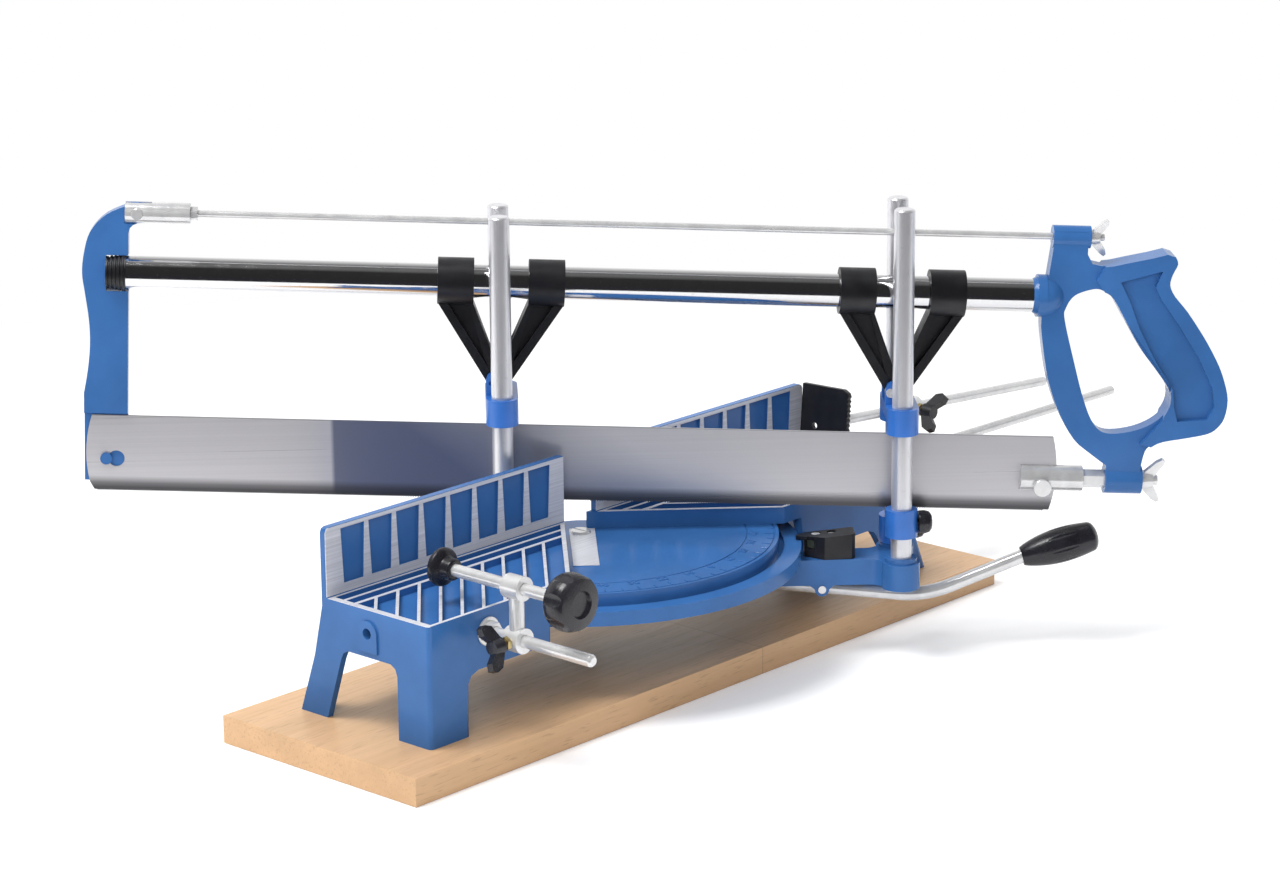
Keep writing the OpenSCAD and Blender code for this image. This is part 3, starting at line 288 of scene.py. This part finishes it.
def machined_casting(name, lands):
    """Enamel that has been milled off on the given boxes of space."""
    f = Finish(name)
    bare = 0.0
    for low, high in lands:
        box = 1.0
        for axis in range(3):
            box = f.math("MULTIPLY", box, f.inside(axis, low[axis], high[axis]))
        bare = f.math("MAXIMUM", bare, box)
    metal = ground_metal(f, GRINDING_TURN, tuple(colours().machined))
    f.colour(f.mix(bare, enamel_colour(f), metal))
    f.link(f.math("MULTIPLY", bare, 0.3), f.shader.inputs["Metallic"])
    enamel_skin(f)
    f.rough(f.math("ADD", 0.2, f.math("MULTIPLY", bare, 0.22)))
    return f.material


def table_material(name):
    """Bare metal on the table's ribs and rim and on the front face of its fence."""
    top = ((-FAR, -TABLE_DEPTH + EDGE_LIP, TABLE_TOP - SKIN), (FAR, -CORNER_LIP, TABLE_TOP + SKIN))
    face = ((-FAR, -EDGE_LIP, TABLE_TOP + FACE_LIP), (FAR, FACE_LIP, FENCE_TOP - EDGE_LIP))
    return machined_casting(name, (top, face))


def plate_material():
    """The plate keeps its enamel but for the machined land, which stands a little proud."""
    land = ((-FAR, -FAR, LAND_TOP - SKIN), (FAR, FAR, LAND_TOP + SKIN / 2))
    return machined_casting("plate_casting", (land,))


def blue_nylon():
    """Blue moulded nylon, a little glossy."""
    f = Finish("blue_nylon")
    base = tuple(colours().nylon)
    cloud = f.ramp(f.noise(f.place, 45, 2), ((0.3, 0.0), (0.75, 1.0)))
    f.colour(f.mix(cloud, shade(base, 0.88), shade(base, 1.15)))
    f.bump(f.noise(f.place, 500, 2), 0.05, 0.0004)
    f.set(Roughness=0.28, Coat_Weight=0.15, Coat_Roughness=0.2)
    return f.material


def black_plastic(name="black_plastic", roughness=0.42, lift=1.0):
    f = Finish(name)
    base = shade(tuple(colours().plastic), lift)
    f.colour(f.mix(f.ramp(f.noise(f.place, 70, 3), ((0.35, 0.0), (0.75, 1.0))), base, shade(base, 1.9)))
    f.bump(f.noise(f.place, 900, 2, 0.6), 0.18, 0.0003)
    f.rough(f.ramp(f.noise(f.place, 120, 2), ((0.3, roughness - 0.08), (0.7, roughness + 0.08))))
    return f.material


def polished_bar(name, base, roughness, turn, metallic=1.0):
    """Drawn and plated round bar: faint lengthwise draw lines and small handling marks."""
    f = Finish(name)
    draw = f.noise(f.stretched((1500, 1500, 12), turn), 1.0, 3, 0.6)
    spots = f.noise(f.place, 260, 4, 0.7)
    body = f.mix(f.ramp(draw, ((0.2, 0.0), (0.8, 1.0))), shade(base, 0.92), shade(base, 1.04))
    f.colour(f.mix(f.ramp(spots, ((0.62, 0.0), (0.74, 0.5))), body, shade(base, 0.6)))
    f.set(Metallic=metallic)
    f.rough(f.ramp(spots, ((0.4, roughness), (0.8, roughness + 0.12))))
    return f.material


def zinc():
    """Bright zinc plate: a little milky, so it stays light where it mirrors the dark."""
    f = Finish("bright_zinc")
    cloud = f.noise(f.place, 90, 4, 0.65)
    f.colour(f.mix(f.ramp(cloud, ((0.3, 0.0), (0.75, 1.0))), (0.62, 0.62, 0.63), (0.80, 0.80, 0.80)))
    f.set(Metallic=0.45, Specular_IOR_Level=0.8)
    f.rough(f.ramp(cloud, ((0.3, 0.12), (0.75, 0.26))))
    return f.material


def brass():
    f = Finish("turned_brass")
    f.colour(f.mix(f.noise(f.place, 200, 3), (0.42, 0.32, 0.13), (0.68, 0.55, 0.28)))
    f.set(Metallic=1.0, Roughness=0.3)
    f.bump(f.noise(f.place, 900, 2), 0.08, 0.0003)
    return f.material


def blade_steel():
    """Smooth ground spring steel, with a painted dark reflection over part of its length and a dark strip
    over the teeth.
    """
    f = Finish("blade_steel")
    along = f.stretched((1, 1, 1), (0, 0, -MITRE))
    streaks = f.node("ShaderNodeMapping", {"Vector": along, "Scale": (3, 900, 900)}).outputs[0]
    lines = f.noise(streaks, 1.0, 2, 0.5)
    cloud = f.noise(f.node("ShaderNodeMapping", {"Vector": along, "Scale": (4, 8, 9)}).outputs[0], 1.0, 2)
    up = FRAME_AXES.to_3x3() @ Vector((0, 0, 1))
    rise = f.node("ShaderNodeVectorMath", {0: f.place, 1: tuple(up)}, operation="DOT_PRODUCT")
    height = rise.outputs["Value"]
    # the painted dark reflection leans back towards its right-hand end
    length = f.node("ShaderNodeSeparateXYZ", {0: along}).outputs[0]
    leaning = f.math("ADD", length, f.math("MULTIPLY", f.math("SUBTRACT", height, BLADE_EDGE), DARK_REFLECTION_LEAN))
    start = f.math("DIVIDE", f.math("SUBTRACT", length, DARK_REFLECTION_START), DARK_REFLECTION_EDGE)
    start = f.ramp(start, ((0.0, 0.0), (1.0, 1.0)))
    end = f.ramp(f.math("DIVIDE", f.math("SUBTRACT", leaning, DARK_REFLECTION_END), DARK_REFLECTION_FADE),
                 ((0.0, 1.0), (0.35, 0.62), (1.0, 0.0)))
    dark_reflection = f.math("MULTIPLY", start, end)
    bright = f.mix(f.ramp(lines, ((0.3, 0.0), (0.7, 1.0))), (0.615, 0.605, 0.63), (0.66, 0.65, 0.67))
    bright = f.mix(f.ramp(cloud, ((0.35, 0.0), (0.7, 0.25))), bright, (0.50, 0.49, 0.53))
    # painted reflection: the steel is made darker towards its right-hand end
    bright = f.mix(f.ramp(length, ((0.0, 0.0), (0.22, 0.35))), bright, (0.43, 0.42, 0.45))
    # painted reflection: a dark blue-grey laid over the stretch that the mask above picks out
    body = f.mix(dark_reflection, bright, (0.20, 0.215, 0.29))
    strip = f.ramp(f.math("DIVIDE", f.math("SUBTRACT", height, BLADE_EDGE), DARK_STRIP),
                   ((0.25, 0.95), (0.55, 0.75), (1.0, 0.0)))
    top_edge = f.math("GREATER_THAN", height, BLADE_TOP - 0.6 * MM)
    edged = f.mix(f.math("MULTIPLY", top_edge, 0.5), body, (0.25, 0.25, 0.27))
    f.colour(f.mix(strip, edged, (0.06, 0.06, 0.065)))
    f.set(Metallic=0.6)
    f.rough(f.ramp(lines, ((0.2, 0.27), (0.8, 0.33))))
    return f.material


def beech():
    """Beech veneer with grain along the board, short dark flecks and a joint beyond which it is darker."""
    f = Finish("beech_veneer")
    base = tuple(colours().beech)
    wide = f.noise(f.stretched((2.2, 26, 26)), 1.0, 4, 0.55)
    fine = f.noise(f.stretched((9, 420, 420)), 1.0, 3, 0.6)
    flecks = f.noise(f.stretched((70, 900, 900)), 1.0, 2, 0.5)
    body = f.mix(f.ramp(wide, ((0.3, 0.0), (0.7, 1.0))), shade(base, 0.88), shade(base, 1.14))
    body = f.mix(f.ramp(fine, ((0.35, 0.0), (0.8, 0.3))), body, shade(base, 0.72))
    body = f.mix(f.ramp(flecks, ((0.60, 0.0), (0.68, 0.45))), body, shade(base, 0.55))
    joint = f.inside(0, VENEER_JOINT_X - VENEER_GAP, VENEER_JOINT_X + VENEER_GAP)
    right = f.inside(0, VENEER_JOINT_X, 1.0)
    body = f.mix(f.math("MULTIPLY", right, 0.25), body, shade(base, 0.9))
    f.colour(f.mix(f.math("MULTIPLY", joint, 0.4), body, shade(base, 0.45)))
    f.rough(f.ramp(fine, ((0.3, 0.34), (0.7, 0.5))))
    f.bump(fine, 0.12, 0.0003)
    f.set(Coat_Weight=0.2, Coat_Roughness=0.25, Specular_IOR_Level=0.3)
    return f.material


MATERIALS = {}


def material(name):
    """Makes each finish once, when the first piece asks for it."""
    makers = {
        "blue_enamel": blue_enamel,
        "left_casting": lambda: table_material("left_casting"),
        "right_casting": lambda: table_material("right_casting"),
        "plate_casting": plate_material,
        "blue_plastic": blue_nylon,
        "black_plastic": black_plastic,
        "gloss_black": lambda: black_plastic("gloss_black", 0.25, 1.8),
        "zinc": zinc,
        "chromed_post": lambda: polished_bar("chromed_post", (0.76, 0.76, 0.79), 0.30, (0, 0, 0), 0.70),
        "chromed_tube": lambda: polished_bar("chromed_tube", (0.72, 0.72, 0.73), 0.07,
                                             (0, math.radians(90), -MITRE)),
        "blade_steel": blade_steel,
        "brass": brass,
        "beech": beech,
    }
    if name not in MATERIALS:
        MATERIALS[name] = makers[name]()
    return MATERIALS[name]


# Mesh helpers


def paint(node):
    """Gives a carried-over solid its finish."""
    target = NODES[node]
    target.data.materials.clear()
    target.data.materials.append(material(SLOT_OF[node]))


def add_piece(name, bm, finish, body, node=None):
    """Turns a bmesh into a piece that rides on a body."""
    mesh = bpy.data.meshes.new(name)
    bm.to_mesh(mesh)
    bm.free()
    mesh.materials.append(material(finish))
    piece = bpy.data.objects.new(name, mesh)
    bpy.context.collection.objects.link(piece)
    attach(piece, body)
    if node:
        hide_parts(node)
    return piece


def smooth_faces(bm, sharp_above=35):
    limit = math.radians(sharp_above)
    for face in bm.faces:
        face.smooth = True
    for edge in bm.edges:
        edge.smooth = len(edge.link_faces) == 2 and edge.calc_face_angle(0) < limit


def merged_copy(node):
    """A solid's mesh with its loose triangles joined and its flat faces whole."""
    bm = bmesh.new()
    bm.from_mesh(NODES[node].data)
    bmesh.ops.remove_doubles(bm, verts=bm.verts, dist=1e-6)
    bmesh.ops.dissolve_limit(bm, angle_limit=math.radians(0.4), verts=bm.verts, edges=bm.edges)
    bmesh.ops.recalc_face_normals(bm, faces=bm.faces)
    return bm


def round_legs(bm):
    """Gives the upright outer corners of a table's front legs their large radius."""
    corners = []
    for edge in bm.edges:
        low, high = sorted((v.co for v in edge.verts), key=lambda co: co.z)
        upright = high.z - low.z > max(LEG_EDGE, 0.9 * edge.calc_length())
        if upright and max(low.y, high.y) < -TABLE_DEPTH + LEG_LEAN and len(edge.link_faces) == 2:
            if edge.calc_face_angle_signed(0) > math.radians(60):
                corners.append(edge)
    bmesh.ops.bevel(bm, geom=corners, offset=LEG_RADIUS, offset_type="OFFSET", affect="EDGES", segments=6,
                    profile=0.5, material=-1, clamp_overlap=True)


def soften(node, width, finish, segments=2, above=32, shape=None):
    """Replaces a solid by a copy whose edges are rounded as a casting's or moulding's are."""
    bm = merged_copy(node)
    if shape:
        shape(bm)
    edges = [e for e in bm.edges if len(e.link_faces) == 2 and e.calc_face_angle(0) > math.radians(above)]
    bmesh.ops.bevel(bm, geom=edges, offset=width, offset_type="OFFSET", affect="EDGES", segments=segments,
                    profile=0.5, material=-1, clamp_overlap=True)
    smooth_faces(bm)
    piece = add_piece(node + "_soft", bm, finish, BODY_OF[node], node)
    keep_flat = piece.modifiers.new("flat faces stay flat", "WEIGHTED_NORMAL")
    keep_flat.keep_sharp = True
    return piece


# Operators


class DressBoard(bpy.types.Operator):
    """Beech-veneered board and the screws under it"""

    bl_idname = "mitre_saw.board"
    bl_label = "Board"

    def execute(self, context):
        soften("board", BOARD_ROUND, "beech")
        paint("board_screws")
        return {"FINISHED"}


class DressTables(bpy.types.Operator):
    """Both table castings with milled fence, ribs and rims"""

    bl_idname = "mitre_saw.tables"
    bl_label = "Tables and fence"

    def execute(self, context):
        for node in ("left_table", "right_table"):
            soften(node, sizes().cast_round, node.replace("table", "casting"), shape=round_legs)
        return {"FINISHED"}


class DressPlate(bpy.types.Operator):
    """Protractor plate with its raised scale"""

    bl_idname = "mitre_saw.plate"
    bl_label = "Protractor plate"

    def execute(self, context):
        soften("protractor_plate", sizes().cast_round, "plate_casting")
        for node in ("plate_screws", "pivot_bolt", "pivot_nut"):
            paint(node)
        self.scale_marks()
        self.scale_numbers()
        return {"FINISHED"}

    def scale_marks(self):
        """Short raised bars round the front of the plate."""
        bm = bmesh.new()
        for angle in range(-60, 61, sizes().tick_step):
            length = (5.5 if angle % 10 == 0 else 3.5) * MM
            place = (Matrix.Rotation(math.radians(angle - 90), 4, "Z")
                     @ Matrix.Translation((MARK_RADIUS - length / 2, 0, PLATE_TOP + 0.15 * MM)))
            made = bmesh.ops.create_cube(bm, size=1.0, matrix=place @ Matrix.Diagonal(
                (length, 0.7 * MM, 0.5 * MM, 1)))
            edges = list({e for v in made["verts"] for e in v.link_edges})
            bmesh.ops.bevel(bm, geom=edges, offset=0.12 * MM, affect="EDGES", segments=1, profile=0.5,
                            material=-1)
        add_piece("scale_marks", bm, "blue_enamel", "base")

    def scale_numbers(self):
        """Raised plain numbers beside the longer marks."""
        for angle in range(-40, 41, 10):
            text = bpy.data.curves.new("scale_number", "FONT")
            text.body = str(abs(angle))
            text.size = NUMBER_SIZE
            text.extrude = 0.2 * MM
            text.bevel_depth = 0.1 * MM
            text.align_x = "CENTER"
            text.align_y = "CENTER"
            holder = bpy.data.objects.new("scale_number", text)
            bpy.context.collection.objects.link(holder)
            bpy.context.view_layer.update()
            finished = holder.evaluated_get(bpy.context.evaluated_depsgraph_get())
            flat = bpy.data.meshes.new_from_object(finished)
            bpy.data.objects.remove(holder)
            bm = bmesh.new()
            bm.from_mesh(flat)
            turn = Matrix.Rotation(math.radians(angle), 4, "Z")
            bmesh.ops.transform(bm, verts=bm.verts, matrix=turn @ Matrix.Translation(
                (0, -NUMBER_RADIUS, PLATE_TOP + 0.1 * MM)))
            add_piece(f"scale_number_{angle + 40}", bm, "blue_enamel", "base")


class DressArm(bpy.types.Operator):
    """Swing arm, its guide posts, the detent housing and the depth collars"""

    bl_idname = "mitre_saw.arm"
    bl_label = "Swing arm"

    def execute(self, context):
        soften("swing_arm", sizes().cast_round, "blue_enamel")
        for post in ("rear_post_near", "rear_post_far", "front_post_near", "front_post_far"):
            soften(post, BAR_ROUND, "chromed_post", segments=1, above=40)
        soften("detent_block", sizes().moulded_round, "black_plastic")
        for node in ("depth_collar_near", "depth_collar_far"):
            soften(node, sizes().moulded_round, "blue_plastic")
        for node in ("depth_knob_near", "depth_knob_far"):
            soften(node, sizes().moulded_round, "gloss_black")
        for node in ("detent_pin", "detent_screws", "lever_pin"):
            paint(node)
        return {"FINISHED"}


class DressLever(bpy.types.Operator):
    """Bent release lever and its fluted grip"""

    bl_idname = "mitre_saw.lever"
    bl_label = "Release lever"

    def execute(self, context):
        soften("release_lever", FITTING_ROUND, "zinc", segments=1, above=40)
        soften("lever_grip", sizes().moulded_round, "gloss_black", above=25)
        return {"FINISHED"}


class DressSlides(bpy.types.Operator):
    """Plastic slides, tilt pins and the two V brackets"""

    bl_idname = "mitre_saw.slides"
    bl_label = "Slides and brackets"

    def execute(self, context):
        for node in ("front_slide", "rear_slide"):
            soften(node, sizes().moulded_round, "blue_plastic")
        for node in ("front_bracket", "rear_bracket"):
            soften(node, sizes().moulded_round, "black_plastic")
        for node in ("slide_screws", "front_pin", "rear_pin"):
            paint(node)
        return {"FINISHED"}


class DressFrame(bpy.types.Operator):
    """Back tube, toe plate, tension rod, and the fittings of rod and blade"""

    bl_idname = "mitre_saw.frame"
    bl_label = "Saw frame"

    def execute(self, context):
        soften("back_tube", BAR_ROUND, "chromed_tube", segments=1, above=40)
        soften("tube_end_sleeve", FITTING_ROUND, "black_plastic", segments=1)
        soften("toe_plate", sizes().cast_round, "blue_enamel")
        for node in ("tension_rod", "tension_sleeve", "tension_nut", "tension_rivet", "tension_wing_nut",
                     "clevis", "clevis_pin", "blade_wing_nut"):
            soften(node, FITTING_ROUND, "zinc", segments=1)
        return {"FINISHED"}


class DressHandle(bpy.types.Operator):
    """Cast handle with its pistol grip"""

    bl_idname = "mitre_saw.handle"
    bl_label = "Handle"

    def execute(self, context):
        soften("saw_handle", HANDLE_ROUND, "blue_enamel", segments=4)
        return {"FINISHED"}


class DressBlade(bpy.types.Operator):
    """Thin ground blade with fine teeth"""

    bl_idname = "mitre_saw.blade"
    bl_label = "Blade"

    def execute(self, context):
        paint("saw_blade")
        return {"FINISHED"}


class DressClamp(bpy.types.Operator):
    """Work clamp on the left table"""

    bl_idname = "mitre_saw.clamp"
    bl_label = "Work clamp"

    def execute(self, context):
        for node in ("clamp_bar", "clamp_bar_nut", "clamp_link", "clamp_spindle"):
            soften(node, FITTING_ROUND, "zinc", segments=1)
        for node in ("clamp_pad", "clamp_knob", "clamp_wing_grip"):
            soften(node, sizes().moulded_round, "gloss_black")
        paint("clamp_wing_stud")
        return {"FINISHED"}


class DressStop(bpy.types.Operator):
    """Length stop on the right table"""

    bl_idname = "mitre_saw.stop"
    bl_label = "Length stop"

    def execute(self, context):
        for node in ("stop_bar", "stop_link", "stop_rod"):
            soften(node, FITTING_ROUND, "zinc", segments=1)
        for node in ("stop_plate", "stop_upper_grip", "stop_lower_grip"):
            soften(node, sizes().moulded_round, "black_plastic")
        for node in ("stop_upper_stud", "stop_lower_stud"):
            paint(node)
        return {"FINISHED"}


class SetStage(bpy.types.Operator):
    """White floor, soft studio light and the camera"""

    bl_idname = "mitre_saw.stage"
    bl_label = "Stage, lights and camera"

    def execute(self, context):
        self.floor()
        self.world()
        self.lights()
        self.camera()
        context.scene.view_settings.view_transform = "Standard"
        return {"FINISHED"}

    def floor(self):
        bm = bmesh.new()
        bmesh.ops.create_grid(bm, x_segments=1, y_segments=1, size=6.0)
        bmesh.ops.translate(bm, verts=bm.verts, vec=(0, 0, -0.0002))
        mesh = bpy.data.meshes.new("studio_floor")
        bm.to_mesh(mesh)
        bm.free()
        floor = bpy.data.objects.new("studio_floor", mesh)
        bpy.context.collection.objects.link(floor)
        f = Finish("white_paper")
        f.set(Roughness=0.85, Specular_IOR_Level=0.1)
        f.colour(f.mix(f.noise(f.place, 3, 2), (0.93, 0.93, 0.935), (0.95, 0.95, 0.955)))
        rays = f.node("ShaderNodeLightPath").outputs
        # the paper ends a little in front of the object, which only its shiny parts show
        towards = f.node("ShaderNodeVectorMath", {0: f.place, 1: tuple(TO_CAMERA)}, operation="DOT_PRODUCT")
        past_edge = f.ramp(towards.outputs["Value"], ((PAPER_EDGE, 0.0), (PAPER_EDGE + 0.06, 1.0)))
        far = f.node("ShaderNodeVectorMath", {0: f.place}, operation="LENGTH").outputs["Value"]
        backdrop = f.ramp(far, ((0.55, 0.0), (0.95, 1.0)))
        glow = f.node("ShaderNodeEmission", {"Strength": f.math("MULTIPLY", rays["Is Camera Ray"], 0.10)})
        near = f.node("ShaderNodeAddShader", {0: f.shader.outputs[0], 1: glow.outputs[0]})
        white = f.node("ShaderNodeEmission", {"Strength": 1.0})
        dark = f.node("ShaderNodeEmission", {"Color": (0.03, 0.03, 0.035, 1), "Strength": 1.0})
        seen = f.node("ShaderNodeMixShader", {0: f.math("MULTIPLY", backdrop, rays["Is Camera Ray"]),
                                              1: near.outputs[0], 2: white.outputs[0]})
        mirrored = f.node("ShaderNodeMixShader", {0: f.math("MULTIPLY", past_edge, rays["Is Glossy Ray"]),
                                                  1: seen.outputs[0], 2: dark.outputs[0]})
        f.link(mirrored.outputs[0], f.tree.nodes["Material Output"].inputs["Surface"])
        mesh.materials.append(f.material)

    def world(self):
        """White to the camera and soft grey to the object; shiny faces see a dark studio above the floor."""
        world = bpy.data.worlds.new("studio")
        bpy.context.scene.world = world
        world.use_nodes = True
        g = Graph(world.node_tree)
        direction = g.node("ShaderNodeTexCoord").outputs["Generated"]
        height = g.node("ShaderNodeSeparateXYZ", {0: direction}).outputs["Z"]
        # how far a direction points away from the camera, from 0 behind it to 1 beyond the object
        away = g.node("ShaderNodeVectorMath", {0: direction, 1: -0.5 * TO_CAMERA}, operation="DOT_PRODUCT")
        beyond = g.ramp(g.math("ADD", away.outputs["Value"], 0.5), ((0.5, 0.0), (0.66, 1.0)))
        studio = g.mix(beyond, g.ramp(height, ((0.0, 0.03), (0.82, 0.03), (0.97, 0.16))),
                       g.ramp(height, ((0.3, 1.0), (0.75, 0.6), (0.98, 0.18))))
        light = g.mix(beyond, g.ramp(height, ((0.0, 0.12), (0.5, 0.28), (1.0, 1.0))), (1, 1, 1))
        rays = g.node("ShaderNodeLightPath").outputs
        lit = g.mix(rays["Is Glossy Ray"], light, studio)
        g.link(g.mix(rays["Is Camera Ray"], lit, (1, 1, 1)), g.tree.nodes["Background"].inputs["Color"])

    def lights(self):
        """One large soft lamp high on the left, a little behind the object, and a weak one by the camera."""
        for name, place, size, power in (
                ("key", Vector((-0.9, 0.4, 2.1)), 0.9, 37.0),
                ("fill", Vector((-1.3, -0.9, 1.0)), 0.8, 11.0)):
            lamp = bpy.data.lights.new(name, "AREA")
            lamp.shape = "SQUARE"
            lamp.size = size
            lamp.energy = power
            holder = bpy.data.objects.new(name, lamp)
            # the weak lamp only lifts the shadows and isn't mirrored in the tubes
            holder.visible_glossy = name == "key"
            bpy.context.collection.objects.link(holder)
            aim = Vector((0, 0, 0.12)) - place
            turn = aim.to_track_quat("-Z", "Y").to_matrix().to_4x4()
            holder.matrix_world = Matrix.Translation(place) @ turn

    def camera(self):
        right = Vector((math.cos(CAMERA_AZIMUTH), math.sin(CAMERA_AZIMUTH), 0))
        back = Vector((math.sin(CAMERA_AZIMUTH) * math.cos(CAMERA_RISE),
                       -math.cos(CAMERA_AZIMUTH) * math.cos(CAMERA_RISE), math.sin(CAMERA_RISE)))
        up = back.cross(right)
        rolled_right = right * math.cos(CAMERA_ROLL) + up * math.sin(CAMERA_ROLL)
        rolled_up = up * math.cos(CAMERA_ROLL) - right * math.sin(CAMERA_ROLL)
        lens = bpy.data.cameras.new("photo_camera")
        lens.lens = FOCAL_LENGTH
        lens.sensor_width = SENSOR_WIDTH
        lens.sensor_fit = "HORIZONTAL"
        lens.clip_start = 0.05
        lens.clip_end = 30
        holder = bpy.data.objects.new("photo_camera", lens)
        bpy.context.collection.objects.link(holder)
        axes = Matrix((rolled_right, rolled_up, back)).transposed().to_4x4()
        holder.matrix_world = Matrix.Translation(CAMERA_PLACE) @ axes
        bpy.context.scene.camera = holder


OPERATORS = (DressBoard, DressTables, DressPlate, DressArm, DressLever, DressSlides, DressFrame, DressHandle,
             DressBlade, DressClamp, DressStop, SetStage)


class MitreSawPanel(bpy.types.Panel):
    """Lists the colours, the sizes and one button for each group of pieces."""

    bl_idname = "VIEW3D_PT_mitre_saw"
    bl_label = "Mitre saw"
    bl_space_type = "VIEW_3D"
    bl_region_type = "UI"
    bl_category = "Mitre saw"

    def draw(self, context):
        for group in (colours(), sizes()):
            for name in group.bl_rna.properties.keys():
                if name not in ("rna_type", "name"):
                    self.layout.prop(group, name)
        for operator in OPERATORS:
            self.layout.operator(operator.bl_idname)


CLASSES = (MitreSawColours, MitreSawSizes, *OPERATORS, MitreSawPanel)


def register():
    for made in CLASSES:
        bpy.utils.register_class(made)
    bpy.types.Scene.mitre_saw_colours = PointerProperty(type=MitreSawColours)
    bpy.types.Scene.mitre_saw_sizes = PointerProperty(type=MitreSawSizes)


def unregister():
    del bpy.types.Scene.mitre_saw_sizes
    del bpy.types.Scene.mitre_saw_colours
    for made in reversed(CLASSES):
        bpy.utils.unregister_class(made)


def main():
    register()
    for operator in OPERATORS:
        group, call = operator.bl_idname.split(".")
        getattr(getattr(bpy.ops, group), call)()


if __name__ == "__main__":
    main()
